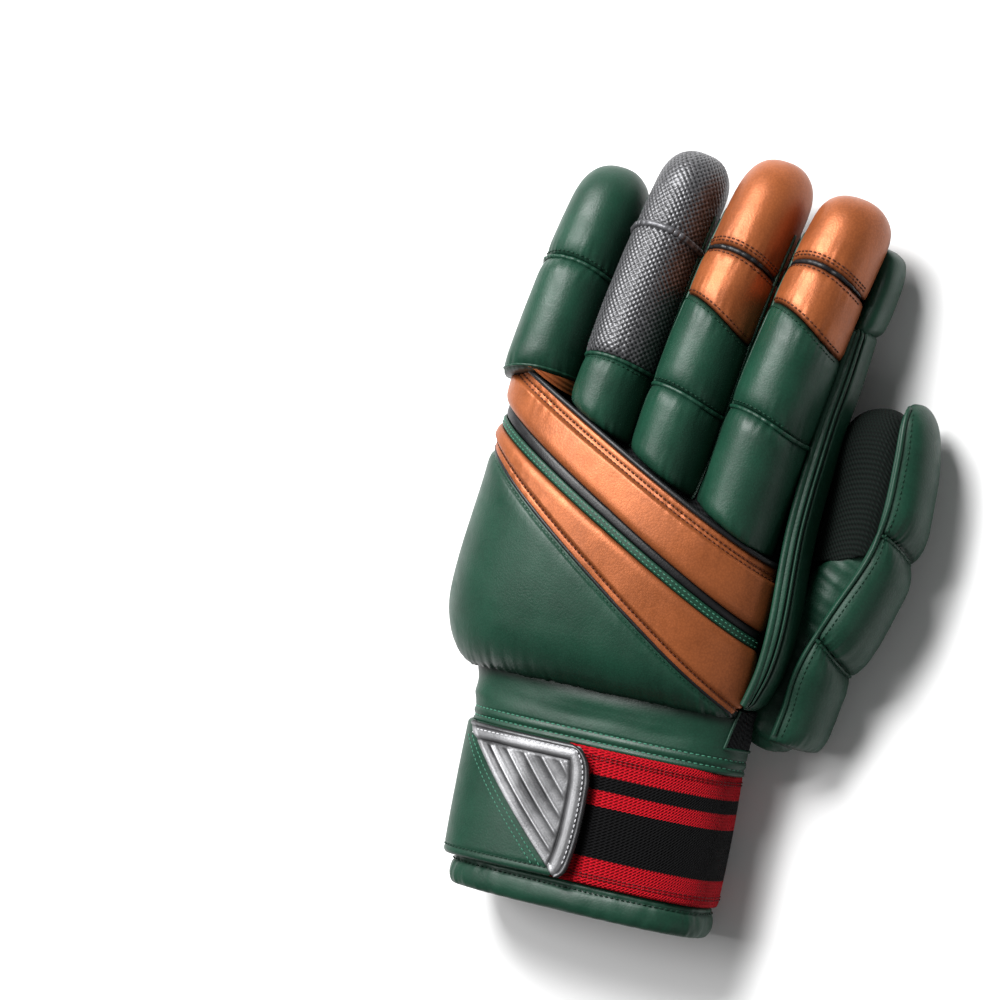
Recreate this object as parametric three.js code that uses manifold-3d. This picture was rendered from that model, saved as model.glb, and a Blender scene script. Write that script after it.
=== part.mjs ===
// A cricket batting glove for the left hand, lying palm down as it rests by itself.
// Millimetres, +Z up, +Y from the cuff to the fingertips, +X towards the thumb.
import * as THREE from "three";
import { mergeVertices } from "three/addons/utils/BufferGeometryUtils.js";
import Module from "manifold-3d";

const wasm = await Module();
wasm.setup();

// Driving sizes.
const FIT = 0.3; // gap between two sewn pieces
const HEM_LENGTH = 12;
const HEM_WALL = 3.6;
const HEM_INSET = 1.5; // how far the hem stands back from the elastic
const ELASTIC_LENGTH = 52.5;
const ELASTIC_WALL = 2;
const CUFF_WIDTH = 110;
const CUFF_HEIGHT = 47;
const PALM_LENGTH = 128;
const PALM_WIDTH = 130;
const HAND_HEIGHT = 50;
const ARCH_RISE = 20; // how high the palm arches off the ground at the knuckles
const PALM_WALL = 2;
const FINGER_LENGTH = 105;
const STALL_WIDTH = 25;
const STALL_HEIGHT = 24;
const STALL_WALL = 1.8;
const STALL_TIP_GAP = 9; // from the end of a stall to the end of its finger's padding
const ROLL_WIDTH = 30;
const ROLL_HEIGHT = 21;
const ROLL_NARROWING = 0.09; // share of its width that a finger's padding loses towards the tip
const ROLL_LOWERING = 0.27; // share of its height that it loses
const ROLL_FLAP = 3.5; // how far a roll reaches down each side of its finger
const SADDLE_GAP = 0.7; // between a roll's hollow and the finger
const ROLL_SHOULDER = 5; // length over which a roll rounds off at a seam
const PANEL_THICKNESS = 15;
const PIPING_WIDTH = 2.2;
const PIPING_RISE = 0.9; // how far the piping stands above the panel
const WRIST_BAND_LENGTH = 21.5;
const WRIST_BAND_THICKNESS = 2.2;
const STRAP_THICKNESS = 2.6;
const BADGE_THICKNESS = 2.4;
const SIDE_BAR_THICKNESS = 6;
const SIDE_BAR_HEIGHT = 19;
const SIDE_PAD_THICKNESS = 8;
const THUMB_LENGTH = 143;
const THUMB_TIP_GAP = 4; // from the end of its stall to the end of its padding
const THUMB_WIDTH = 27.5;
const THUMB_HEIGHT = 25;
const THUMB_ROLL_WIDTH = 29;
const THUMB_ROLL_HEIGHT = 9;
const THUMB_ROLL_FLAP = 3;
const THUMB_CUFF_SHARE = 0.6; // share of the thumb that is leather, before the mesh begins
const THUMB_JOIN_SLANT = 0.6; // how steeply the line between leather and mesh climbs towards the thumb

const ELASTIC_START_Y = HEM_LENGTH + FIT;
const WRIST_Y = ELASTIC_START_Y + ELASTIC_LENGTH;
const KNUCKLE_Y = WRIST_Y + PALM_LENGTH;

// The palm from wrist to knuckles. along is a share of PALM_LENGTH, left and right of PALM_WIDTH,
// low of ARCH_RISE and top of HAND_HEIGHT.
const PALM_SECTIONS = [
  { along: 0, left: 0.415, right: 0.42, low: 0, top: 0.86 },
  { along: 0.18, left: 0.44, right: 0.43, low: 0, top: 0.88 },
  { along: 0.32, left: 0.51, right: 0.44, low: 0, top: 0.94 },
  { along: 0.48, left: 0.52, right: 0.45, low: 0.05, top: 1 },
  { along: 0.66, left: 0.5, right: 0.46, low: 0.42, top: 1.02 },
  { along: 0.84, left: 0.49, right: 0.47, low: 0.86, top: 0.98 },
  { along: 1, left: 0.485, right: 0.475, low: 1, top: 0.9 },
];

// The fingers. across is the middle of the mouth as a share of PALM_WIDTH, lean the slope towards the thumb,
// reach a share of FINGER_LENGTH, width of ROLL_WIDTH, sink how much lower than the highest finger it sits,
// as a share of HAND_HEIGHT.
const FINGERS = [
  { name: "little", across: -0.386, lean: 0.115, reach: 0.875, width: 1.08, sink: 0.07 },
  { name: "ring", across: -0.141, lean: 0.115, reach: 0.965, width: 1, sink: 0.01 },
  { name: "middle", across: 0.103, lean: 0.14, reach: 0.985, width: 1.08, sink: 0 },
  { name: "index", across: 0.364, lean: 0.145, reach: 0.885, width: 1.12, sink: 0.03 },
];

// Each finger's rolls. from and to are shares of FINGER_LENGTH from the knuckle line, slant is how much lower
// the seam at the far end runs on the thumb side, as a share of ROLL_WIDTH, nearSlant the same at the near
// end, trim marks a roll that the panel and the palm cut into.
const ROLLS = [
  { finger: "little", name: "mid", from: 0.075, to: 0.48, slant: 0, nearSlant: 0, trim: true },
  { finger: "little", name: "tip", from: 0.485, to: 0.875, slant: 0, nearSlant: 0 },
  { finger: "ring", name: "base", from: -0.3, to: 0.165, slant: 0.05, nearSlant: 0, trim: true },
  { finger: "ring", name: "mid", from: 0.17, to: 0.625, slant: 0.05, nearSlant: 0.05 },
  { finger: "ring", name: "tip", from: 0.63, to: 0.965, slant: 0, nearSlant: 0.05 },
  { finger: "middle", name: "base", from: -0.42, to: 0.09, slant: 0.2, nearSlant: 0, trim: true },
  { finger: "middle", name: "lower", from: 0.095, to: 0.39, slant: 0.45, nearSlant: 0.2 },
  { finger: "middle", name: "upper", from: 0.395, to: 0.585, slant: 0.15, nearSlant: 0.45 },
  { finger: "middle", name: "tip", from: 0.6, to: 0.985, slant: 0, nearSlant: 0.15 },
  { finger: "index", name: "base", from: -0.58, to: 0.055, slant: 0.25, nearSlant: 0, trim: true },
  { finger: "index", name: "lower", from: 0.06, to: 0.405, slant: 0.45, nearSlant: 0.25 },
  { finger: "index", name: "upper", from: 0.41, to: 0.575, slant: 0.15, nearSlant: 0.45 },
  { finger: "index", name: "tip", from: 0.59, to: 0.885, slant: 0, nearSlant: 0.15 },
];

// The middle line of the thumb. along is a share of THUMB_LENGTH, out a share of PALM_WIDTH from the hand's
// middle, turn how far the padding faces up from the side in degrees, lift its height above the ground as a
// share of HAND_HEIGHT.
const THUMB_PATH = [
  { along: 0, out: 0.45, turn: 15, lift: 0.27 },
  { along: 0.16, out: 0.49, turn: 16, lift: 0.28 },
  { along: 0.27, out: 0.525, turn: 20, lift: 0.32 },
  { along: 0.42, out: 0.605, turn: 25, lift: 0.36 },
  { along: 0.64, out: 0.668, turn: 10, lift: 0.39 },
  { along: 0.85, out: 0.665, turn: 3, lift: 0.38 },
  { along: 1, out: 0.645, turn: 3, lift: 0.36 },
];
const THUMB_START_Y = 73;
const THUMB_ROLLS = [
  { name: "base", from: 0.065, to: 0.34, slant: 0.3, nearSlant: 0, trim: true },
  { name: "mid", from: 0.345, to: 0.625, slant: 0.3, nearSlant: 0.3, trim: true },
  { name: "tip", from: 0.63, to: 1, slant: 0, nearSlant: 0.3, trim: true },
];

// The strap's tab and the badge on it, seen from above: x in shares of CUFF_WIDTH, y in shares of
// ELASTIC_LENGTH from the elastic's lower edge.
const STRAP_OUTLINE = [
  [-0.8, -0.06], [-0.02, 0.05], [0.01, 0.12], [0.022, 0.3], [0.014, 0.84], [0, 0.94], [-0.03, 0.97], [-0.8, 0.97],
];
const BADGE_OUTLINE = [
  [0, 0.03], [0.026, 0.1], [0.04, 0.3], [0.031, 0.85], [0.015, 0.96], [-0.01, 0.985], [-0.52, 0.95],
];
const STRAP_END_Z = 7; // how far above the ground the strap is sewn to the elastic's side

// The bar down the index finger's side. y runs from the wrist in shares of PALM_LENGTH, out is the inner
// face as a share of PALM_WIDTH, low the underside in shares of HAND_HEIGHT.
const SIDE_BAR_PATH = [
  { along: 0.2, out: 0.452, low: 0.52, size: 0.35 },
  { along: 0.23, out: 0.464, low: 0.52, size: 0.6 },
  { along: 0.33, out: 0.49, low: 0.53, size: 0.85 },
  { along: 0.465, out: 0.502, low: 0.54, size: 1 },
  { along: 0.77, out: 0.496, low: 0.5, size: 1 },
  { along: 1.075, out: 0.512, low: 0.4, size: 1 },
  { along: 1.23, out: 0.53, low: 0.34, size: 1 },
  { along: 1.37, out: 0.549, low: 0.28, size: 0.95 },
];
const SIDE_PAD_PATH = [
  { along: 1.375, out: 0.55, low: 0.25, size: 0.7 },
  { along: 1.41, out: 0.556, low: 0.22, size: 0.9 },
  { along: 1.53, out: 0.572, low: 0.13, size: 0.95 },
  { along: 1.6, out: 0.577, low: 0.11, size: 0.85 },
  { along: 1.64, out: 0.58, low: 0.14, size: 0.5 },
];

// Materials.
const finish = (colour, roughness, metalness = 0) =>
  new THREE.MeshStandardMaterial({ color: colour, roughness, metalness });
const GREEN_LEATHER = finish(0x1d4a35, 0.5);
const COPPER_LEATHER = finish(0xb5652f, 0.35, 0.5);
const GREY_MESH = finish(0x55565a, 0.5, 0.3);
const BLACK_MESH = finish(0x121315, 0.85);
const BLACK_LEATHER = finish(0x17181a, 0.5);
const RED_BLACK_ELASTIC = finish(0x6d1018, 0.85);
const SILVER_RUBBER = finish(0xa6a8ab, 0.35, 0.6);

// A value at a share along a table of sections, on a smooth curve through its rows.
function read(rows, column, along) {
  const last = rows.length - 1;
  let i = rows.findIndex((row, k) => k < last && along <= rows[k + 1].along);
  if (i < 0) i = last - 1;
  const [a, b] = [rows[i], rows[i + 1]];
  const before = rows[Math.max(i - 1, 0)];
  const after = rows[Math.min(i + 2, last)];
  const slope = (p, q) => (q[column] - p[column]) / Math.max(q.along - p.along, 1e-6);
  const span = b.along - a.along;
  const t = THREE.MathUtils.clamp((along - a.along) / span, 0, 1);
  const [m0, m1] = [slope(before, b) * span, slope(a, after) * span];
  return (
    (2 * t ** 3 - 3 * t ** 2 + 1) * a[column] +
    (t ** 3 - 2 * t ** 2 + t) * m0 +
    (3 * t ** 2 - 2 * t ** 3) * b[column] +
    (t ** 3 - t ** 2) * m1
  );
}

const steps = (count) => Array.from({ length: count + 1 }, (_, i) => i / count);
const signedPower = (v, power) => Math.sign(v) * Math.abs(v) ** power;

// A closed body through rings of points, with a fan over each end.
function loft(rings) {
  const around = rings[0].length;
  const points = rings.flat();
  const index = [];
  for (let r = 0; r + 1 < rings.length; r++)
    for (let i = 0; i < around; i++) {
      const [a, b] = [r * around + i, r * around + ((i + 1) % around)];
      index.push(a, b, b + around, a, b + around, a + around);
    }
  for (const [ring, flip] of [[0, true], [rings.length - 1, false]]) {
    const middle = new THREE.Vector3();
    rings[ring].forEach((p) => middle.addScaledVector(p, 1 / around));
    points.push(middle);
    for (let i = 0; i < around; i++) {
      const [a, b] = [ring * around + i, ring * around + ((i + 1) % around)];
      index.push(points.length - 1, ...(flip ? [b, a] : [a, b]));
    }
  }
  const body = new THREE.BufferGeometry().setFromPoints(points);
  body.setIndex(index);
  return solid(body);
}

// A closed mesh as a solid that can be cut and joined.
function solid(geometry) {
  const bare = geometry.clone();
  bare.deleteAttribute("normal");
  bare.deleteAttribute("uv");
  const merged = mergeVertices(bare, 1e-4);
  const made = new wasm.Manifold(
    new wasm.Mesh({
      numProp: 3,
      vertProperties: new Float32Array(merged.attributes.position.array),
      triVerts: new Uint32Array(merged.index.array),
    }),
  );
  if (made.volume() > 0) return made;
  const turned = merged.index.array.slice();
  for (let i = 0; i < turned.length; i += 3)
    [turned[i + 1], turned[i + 2]] = [turned[i + 2], turned[i + 1]];
  merged.setIndex(Array.from(turned));
  return solid(merged);
}

const SMALLEST_EDGE = 0.05;
const biggest = (body) => body.decompose().sort((a, b) => b.volume() - a.volume())[0];

const glove = new THREE.Group();

// Hangs a finished solid in the glove as a named mesh.
function add(name, body, material) {
  const { vertProperties, triVerts, numProp } = biggest(body.simplify(SMALLEST_EDGE)).getMesh();
  const points = [];
  for (let i = 0; i < vertProperties.length; i += numProp)
    points.push(new THREE.Vector3(...vertProperties.slice(i, i + 3)));
  const geometry = new THREE.BufferGeometry().setFromPoints(points);
  geometry.setIndex(Array.from(triVerts));
  const mesh = new THREE.Mesh(geometry, material);
  mesh.name = name;
  glove.add(mesh);
  return mesh;
}

// A flat oval in an upright plane, its underside pressed flat where it rests.
const OVAL_SQUARENESS = 2.7;
const UNDERSIDE_PRESS = 1.2;
function oval(left, right, low, top, y, grow, around) {
  const middleX = (right - left) / 2;
  const middleZ = (low + top) / 2;
  const halfX = (left + right) / 2 + grow;
  const halfZ = (top - low) / 2 + grow;
  return steps(around).slice(0, -1).map((share) => {
    const angle = share * 2 * Math.PI;
    const x = middleX + halfX * signedPower(Math.cos(angle), 2 / OVAL_SQUARENESS);
    const rise = signedPower(Math.sin(angle), 2 / OVAL_SQUARENESS);
    const z = rise < 0 ? middleZ + Math.max(rise * UNDERSIDE_PRESS, -1) * halfZ : middleZ + rise * halfZ;
    return new THREE.Vector3(x, y, z);
  });
}

// The cuff: a hem, then the elastic, both on the same flat oval.
const CUFF_AROUND = 32;
const cuffRing = (y, grow) => oval(CUFF_WIDTH / 2, CUFF_WIDTH / 2, 0, CUFF_HEIGHT, y, grow, CUFF_AROUND);

function makeElastic() {
  const ring = (from, to, grow) => loft([cuffRing(from, grow), cuffRing(to, grow)]);
  const body = ring(ELASTIC_START_Y, WRIST_Y - FIT, 0).subtract(ring(HEM_LENGTH - 1, WRIST_Y + 1, -ELASTIC_WALL));
  add("wrist_elastic", body, RED_BLACK_ELASTIC);
}

function makeHem() {
  const fold = HEM_WALL / 2;
  const rows = [
    { y: 0, grow: -HEM_INSET - fold / 2 },
    { y: fold, grow: -HEM_INSET },
    { y: HEM_LENGTH - fold, grow: -HEM_INSET },
    { y: HEM_LENGTH, grow: -HEM_INSET - fold / 2 },
  ];
  const outer = loft(rows.map((row) => cuffRing(row.y, row.grow)));
  const inner = loft([cuffRing(-1, -HEM_INSET - HEM_WALL), cuffRing(HEM_LENGTH + 1, -HEM_INSET - HEM_WALL)]);
  add("cuff_hem", outer.subtract(inner), GREEN_LEATHER);
}

// The palm: a tube of leather and lining whose front is closed but for the fingers' mouths.
const PALM_AROUND = 24;
function palmRing(along, grow, end = 0) {
  const rows = PALM_SECTIONS;
  return oval(
    read(rows, "left", along) * PALM_WIDTH,
    read(rows, "right", along) * PALM_WIDTH,
    read(rows, "low", along) * ARCH_RISE,
    read(rows, "top", along) * HAND_HEIGHT,
    WRIST_Y + along * PALM_LENGTH + end,
    grow,
    PALM_AROUND,
  );
}
const palmSolid = (grow, back = 0, front = 0) =>
  loft([
    ...(back ? [palmRing(0, grow, -back)] : []),
    ...PALM_SECTIONS.map((row, i) => palmRing(row.along, grow, i ? (i === PALM_SECTIONS.length - 1 ? front : 0) : back ? 0.5 : 0)),
  ]);

// A finger's middle line. share runs from 0 at the knuckle line to 1 at the end of the finger's padding.
function fingerFrame(finger, distance) {
  const length = finger.reach * FINGER_LENGTH;
  const place = (d) => {
    const t = d / length;
    const low = d < 0 ? 1 : Math.max(1 - t * t, 0);
    return new THREE.Vector3(
      finger.across * PALM_WIDTH + finger.lean * d,
      KNUCKLE_Y + d,
      low * (ARCH_RISE - finger.sink * HAND_HEIGHT) + STALL_HEIGHT / 2,
    );
  };
  const at = place(distance);
  const ahead = place(distance + 0.5).sub(place(distance - 0.5)).normalize();
  const side = new THREE.Vector3().crossVectors(ahead, new THREE.Vector3(0, 0, 1)).normalize();
  const up = new THREE.Vector3().crossVectors(side, ahead);
  return { at, ahead, side, up };
}

const STALL_AROUND = 12;
function stallRing(frame, halfWidth, halfHeight) {
  return steps(STALL_AROUND).slice(0, -1).map((share) => {
    const angle = share * 2 * Math.PI;
    const rise = Math.max(signedPower(Math.sin(angle), 0.85), -0.92);
    return frame.at.clone()
      .addScaledVector(frame.side, halfWidth * signedPower(Math.cos(angle), 0.85))
      .addScaledVector(frame.up, halfHeight * rise);
  });
}

const STALL_STATIONS = [
  { along: 0, full: 1 },
  { along: 0.3, full: 1 },
  { along: 0.55, full: 1 },
  { along: 0.76, full: 1 },
  { along: 0.92, full: 0.86 },
  { along: 1, full: 0.45 },
];
// The thumb's stall is closed at both ends and opens into the palm on its side.
const THUMB_STATIONS = [{ along: 0, full: 0.6 }, { along: 0.035, full: 0.9 }, { along: 0.09, full: 1 }, ...STALL_STATIONS.slice(1)];
function stallSolid(stations, frameAt, length, halfWidth, halfHeight, grow, start) {
  const rings = stations.map(({ along, full }) => {
    const distance = start + along * (length + grow - start);
    return stallRing(frameAt(distance), (halfWidth + grow) * full, (halfHeight + grow) * full);
  });
  return loft(rings);
}

const fingerStall = (finger, grow, start) =>
  stallSolid(
    STALL_STATIONS,
    (d) => fingerFrame(finger, d),
    finger.reach * FINGER_LENGTH - STALL_TIP_GAP,
    STALL_WIDTH / 2,
    STALL_HEIGHT / 2,
    grow,
    start,
  );

// The thumb's middle line, in the same form.
function thumbFrame(distance) {
  const place = (d) => {
    const along = d / THUMB_LENGTH;
    const out = read(THUMB_PATH, "out", along) * PALM_WIDTH;
    return new THREE.Vector3(out, THUMB_START_Y + d, read(THUMB_PATH, "lift", along) * HAND_HEIGHT);
  };
  const at = place(distance);
  const ahead = place(distance + 0.5).sub(place(distance - 0.5)).normalize();
  const side = new THREE.Vector3().crossVectors(ahead, new THREE.Vector3(0, 0, 1)).normalize();
  const up = new THREE.Vector3().crossVectors(side, ahead);
  return { at, ahead, side, up };
}
const THUMB_STALL_START = 4;
const thumbStall = (grow) => {
  const length = THUMB_LENGTH - THUMB_TIP_GAP;
  const start = THUMB_STALL_START - grow;
  return stallSolid(THUMB_STATIONS, thumbFrame, length, THUMB_WIDTH / 2, THUMB_HEIGHT / 2, grow, start);
};

function makePalm() {
  const outer = palmSolid(0);
  const wallEnd = -PALM_WALL;
  let cavity = palmSolid(-PALM_WALL, 2, wallEnd);
  for (const finger of FINGERS) cavity = cavity.add(fingerStall(finger, -STALL_WALL, -2 * PALM_WALL));
  cavity = cavity.add(thumbStall(-STALL_WALL));
  const shell = outer.subtract(cavity);
  // The lower half is the leather of the palm, the upper half the lining of the back.
  const splitZ = (y) => (y - WRIST_Y) / PALM_LENGTH;
  const side = new THREE.Shape([
    new THREE.Vector2(WRIST_Y - 10, -50),
    new THREE.Vector2(KNUCKLE_Y + 10, -50),
    new THREE.Vector2(KNUCKLE_Y + 10, ARCH_RISE + STALL_HEIGHT / 2),
    new THREE.Vector2(WRIST_Y + splitZ(WRIST_Y + 70) * PALM_LENGTH, CUFF_HEIGHT / 2),
    new THREE.Vector2(WRIST_Y - 10, CUFF_HEIGHT / 2),
  ]);
  const below = (lift) => {
    const prism = new THREE.ExtrudeGeometry(side, { depth: 4 * PALM_WIDTH, bevelEnabled: false });
    prism.translate(0, 0, -2 * PALM_WIDTH);
    // Shape x is the glove's Y, shape y its Z, and the depth its X.
    prism.applyMatrix4(new THREE.Matrix4().set(0, 0, 1, 0, 1, 0, 0, 0, 0, 1, 0, lift, 0, 0, 0, 1));
    return solid(prism);
  };
  add("palm_leather", shell.intersect(below(-FIT / 2)), GREEN_LEATHER);
  add("back_lining", shell.subtract(below(FIT / 2)), BLACK_MESH);
}

function makeStalls() {
  const palm = palmSolid(FIT, 5, FIT);
  for (const finger of FINGERS) {
    const body = fingerStall(finger, 0, -1).subtract(fingerStall(finger, -STALL_WALL, -2)).subtract(palm);
    add(finger.name + "_stall", biggest(body), BLACK_MESH);
  }
  const tube = thumbStall(0).subtract(thumbStall(-STALL_WALL)).subtract(palm);
  const join = thumbFrame(THUMB_CUFF_SHARE * THUMB_LENGTH).at;
  const beyond = (gap) => {
    const block = new THREE.BoxGeometry(400, 400, 400).translate(0, 200 + gap, 0);
    return solid(block.rotateZ(Math.atan(THUMB_JOIN_SLANT)).translate(join.x, join.y, 0));
  };
  add("thumb_cuff", biggest(tube.subtract(beyond(-FIT / 2))), GREEN_LEATHER);
  add("thumb_stall", biggest(tube.intersect(beyond(FIT / 2))), BLACK_MESH);
}

// A padded roll on a finger: a round arch above, hollowed below to sit on the stall.
const ARCH_POINTS = 10;
const SADDLE_POINTS = 6;
const ARCH_SQUARENESS = 2.25;
const LEAST_PADDING = 0.8;
function rollRing(frame, seat, halfWidth, height, slant, hollow) {
  const { flap } = seat;
  const ring = [];
  const across = (x, z) =>
    frame.at.clone()
      .addScaledVector(frame.side, x)
      .addScaledVector(frame.up, seat.top + z)
      .addScaledVector(frame.ahead, -slant * (x / ROLL_WIDTH));
  for (const share of steps(ARCH_POINTS)) {
    const angle = share * Math.PI;
    const x = halfWidth * signedPower(Math.cos(angle), 2 / ARCH_SQUARENESS);
    const z = -flap + (height + flap) * Math.abs(Math.sin(angle)) ** (2 / ARCH_SQUARENESS);
    ring.push(across(x, z));
  }
  for (const share of steps(SADDLE_POINTS).slice(1, -1)) {
    const x = halfWidth * (2 * share - 1);
    const reach = Math.min(Math.abs(x) / (seat.halfWidth + SADDLE_GAP), 1);
    const drop = (seat.halfHeight + SADDLE_GAP) * (1 - Math.sqrt(1 - reach ** 2.35));
    const crown = (height + flap) * (1 - (Math.abs(x) / halfWidth) ** ARCH_SQUARENESS) ** (1 / ARCH_SQUARENESS);
    const saddle = Math.max(Math.min(SADDLE_GAP - drop, crown - flap - LEAST_PADDING), -flap);
    ring.push(across(x, THREE.MathUtils.lerp(-flap, saddle, hollow)));
  }
  return ring;
}

// Stations of a roll: share of its length, how full it is there in width and in height, and how much of
// the hollow for the finger is left.
function rollStations(length, isTip) {
  const shoulder = Math.min(ROLL_SHOULDER / length, 0.3);
  const near = [
    { along: 0, wide: 0.95, high: 0.8 },
    { along: shoulder * 0.35, wide: 0.98, high: 0.92 },
    { along: shoulder, wide: 1, high: 1 },
  ];
  const far = near.map((row) => ({ ...row, along: 1 - row.along })).reverse();
  const dome = [
    { along: 0.5, wide: 1, high: 0.98 },
    { along: 0.72, wide: 0.97, high: 0.9 },
    { along: 0.87, wide: 0.84, high: 0.7 },
    { along: 0.95, wide: 0.67, high: 0.48, hollow: 0.5 },
    { along: 1, wide: 0.42, high: 0.2, hollow: 0 },
  ];
  return [...near, ...(isTip ? dome : [{ along: 0.5, wide: 1.01, high: 1.03 }, ...far])];
}

function rollSolid(frameAt, seat, roll, length, sizeAt, isTip) {
  const [from, to] = [roll.from * length, roll.to * length];
  const rings = rollStations(to - from, isTip).map(({ along, wide, high, hollow = 1 }) => {
    const slant = THREE.MathUtils.lerp(roll.nearSlant, roll.slant, along) * ROLL_WIDTH;
    const distance = from + along * (to - from);
    const { width, height } = sizeAt(distance);
    return rollRing(frameAt(distance), seat, (width / 2) * wide, height * high, slant, hollow);
  });
  return loft(rings);
}

// The back of the hand: one padded panel cut by two slanting bands.
// along is a share of PALM_LENGTH, left and right shares of PALM_WIDTH, foot the share of HAND_HEIGHT at
// which the padding ends on the little finger's side and farFoot on the index finger's, thick a share of
// PANEL_THICKNESS.
const PANEL_SECTIONS = [
  { along: 0.18, left: 0.475, right: 0.445, foot: 0.62, farFoot: 0.78, thick: 0.3 },
  { along: 0.215, left: 0.515, right: 0.47, foot: 0.5, farFoot: 0.78, thick: 0.72 },
  { along: 0.27, left: 0.555, right: 0.482, foot: 0.42, farFoot: 0.78, thick: 0.95 },
  { along: 0.36, left: 0.575, right: 0.485, foot: 0.4, farFoot: 0.78, thick: 1 },
  { along: 0.48, left: 0.565, right: 0.49, foot: 0.42, farFoot: 0.78, thick: 1 },
  { along: 0.65, left: 0.535, right: 0.49, foot: 0.5, farFoot: 0.76, thick: 1 },
  { along: 0.85, left: 0.505, right: 0.49, foot: 0.6, farFoot: 0.74, thick: 1 },
  { along: 1.09, left: 0.48, right: 0.49, foot: 0.66, farFoot: 0.72, thick: 0.95 },
];
const PANEL_AROUND = 26;
function panelSolid(grow = 0) {
  const rings = PANEL_SECTIONS.map((row) => {
    const footAt = (x) => THREE.MathUtils.lerp(row.foot, row.farFoot, x / PALM_WIDTH + 0.5) * HAND_HEIGHT;
    const along = Math.min(row.along, 1);
    const top = read(PALM_SECTIONS, "top", along) * HAND_HEIGHT + row.thick * PANEL_THICKNESS;
    const y = WRIST_Y + row.along * PALM_LENGTH;
    const low = 2 * row.foot * HAND_HEIGHT - top;
    const ring = oval(row.left * PALM_WIDTH, row.right * PALM_WIDTH, low, top, y, grow, PANEL_AROUND);
    return ring.map((p) => p.setZ(Math.max(p.z, footAt(p.x))));
  });
  return loft(rings);
}

// The slanting lines across the panel, as heights at the left and right ends of PALM_WIDTH, in shares of
// PALM_LENGTH.
const LINES = {
  crest: { left: 1.13, right: 0.615 },
  bandFoot: { left: 0.99, right: 0.415 },
  blackFoot: { left: 0.95, right: 0.388 },
  inlayFoot: { left: 0.918, right: 0.355 },
  lowerFoot: { left: 0.845, right: 0.115 },
};
const raised = (line, rise) => ({ left: line.left + rise / PALM_LENGTH, right: line.right + rise / PALM_LENGTH });

function between(lower, upper) {
  const half = PALM_WIDTH / 2;
  const heightAt = (line, x) =>
    WRIST_Y + PALM_LENGTH * THREE.MathUtils.lerp(line.left, line.right, (x + half) / PALM_WIDTH);
  const [l, r] = [-1.3 * half, 1.3 * half];
  const outline = new THREE.Shape([
    new THREE.Vector2(l, lower ? heightAt(lower, l) + FIT / 2 : -100),
    new THREE.Vector2(r, lower ? heightAt(lower, r) + FIT / 2 : -100),
    new THREE.Vector2(r, upper ? heightAt(upper, r) - FIT / 2 : 500),
    new THREE.Vector2(l, upper ? heightAt(upper, l) - FIT / 2 : 500),
  ]);
  const prism = new THREE.ExtrudeGeometry(outline, { depth: 200, bevelEnabled: false });
  return solid(prism.translate(0, 0, -50));
}

// All that the padding sits on, grown by the gap.
const palmBelow = palmSolid(FIT, 5, FIT);
const stallsBelow = FINGERS.map((finger) => fingerStall(finger, FIT, -1)).reduce((a, b) => a.add(b));
const thumbBelow = thumbStall(FIT);
const wristSlab = (from, to) => {
  const [a, b] = [WRIST_Y + from, WRIST_Y + to];
  return solid(new THREE.BoxGeometry(400, b - a, 400).translate(0, (a + b) / 2, 0));
};
const WRIST_BAND_START = 3.2;
const WRIST_BAND_END = WRIST_BAND_START + WRIST_BAND_LENGTH;
const wristBandBelow = palmSolid(2 * FIT + WRIST_BAND_THICKNESS).intersect(wristSlab(-5, WRIST_BAND_END + FIT));
const below = palmBelow.add(stallsBelow).add(thumbBelow).add(wristBandBelow);

function makePanel() {
  const panel = panelSolid().subtract(below);
  const cut = (lower, upper) => biggest(panel.intersect(between(lower, upper)));
  add("back_panel", cut(null, LINES.lowerFoot), GREEN_LEATHER);
  add("lower_band", cut(LINES.lowerFoot, LINES.inlayFoot), COPPER_LEATHER);
  add("green_inlay", cut(LINES.inlayFoot, LINES.blackFoot), GREEN_LEATHER);
  add("black_inlay", cut(LINES.blackFoot, LINES.bandFoot), BLACK_LEATHER);
  add("upper_band", cut(LINES.bandFoot, LINES.crest), COPPER_LEATHER);
  const ridge = panelSolid(PIPING_RISE).intersect(between(LINES.crest, raised(LINES.crest, PIPING_WIDTH)));
  add("band_piping", biggest(ridge.subtract(below)), BLACK_LEATHER);
}

const ROLL_MATERIALS = {
  ring_mid: GREY_MESH,
  ring_tip: GREY_MESH,
  middle_upper: COPPER_LEATHER,
  middle_tip: COPPER_LEATHER,
  index_upper: COPPER_LEATHER,
  index_tip: COPPER_LEATHER,
};

function makeRolls() {
  const [halfWidth, halfHeight] = [STALL_WIDTH / 2, STALL_HEIGHT / 2];
  const seat = { top: halfHeight, halfWidth, halfHeight, flap: ROLL_FLAP };
  const beyondCrest = between(raised(LINES.crest, PIPING_WIDTH), null);
  for (const roll of ROLLS) {
    const finger = FINGERS.find((f) => f.name === roll.finger);
    const sizeAt = (distance) => {
      const out = Math.max(distance, 0) / FINGER_LENGTH;
      return {
        width: ROLL_WIDTH * finger.width * (1 - ROLL_NARROWING * out),
        height: ROLL_HEIGHT * (1 - ROLL_LOWERING * out),
      };
    };
    const frameAt = (distance) => fingerFrame(finger, distance);
    let body = rollSolid(frameAt, seat, roll, FINGER_LENGTH, sizeAt, roll.name === "tip");
    if (roll.trim) body = biggest(body.subtract(below).intersect(beyondCrest));
    const name = `${roll.finger}_${roll.name}`;
    add(name + "_roll", body, ROLL_MATERIALS[name] ?? GREEN_LEATHER);
  }
}

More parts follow.
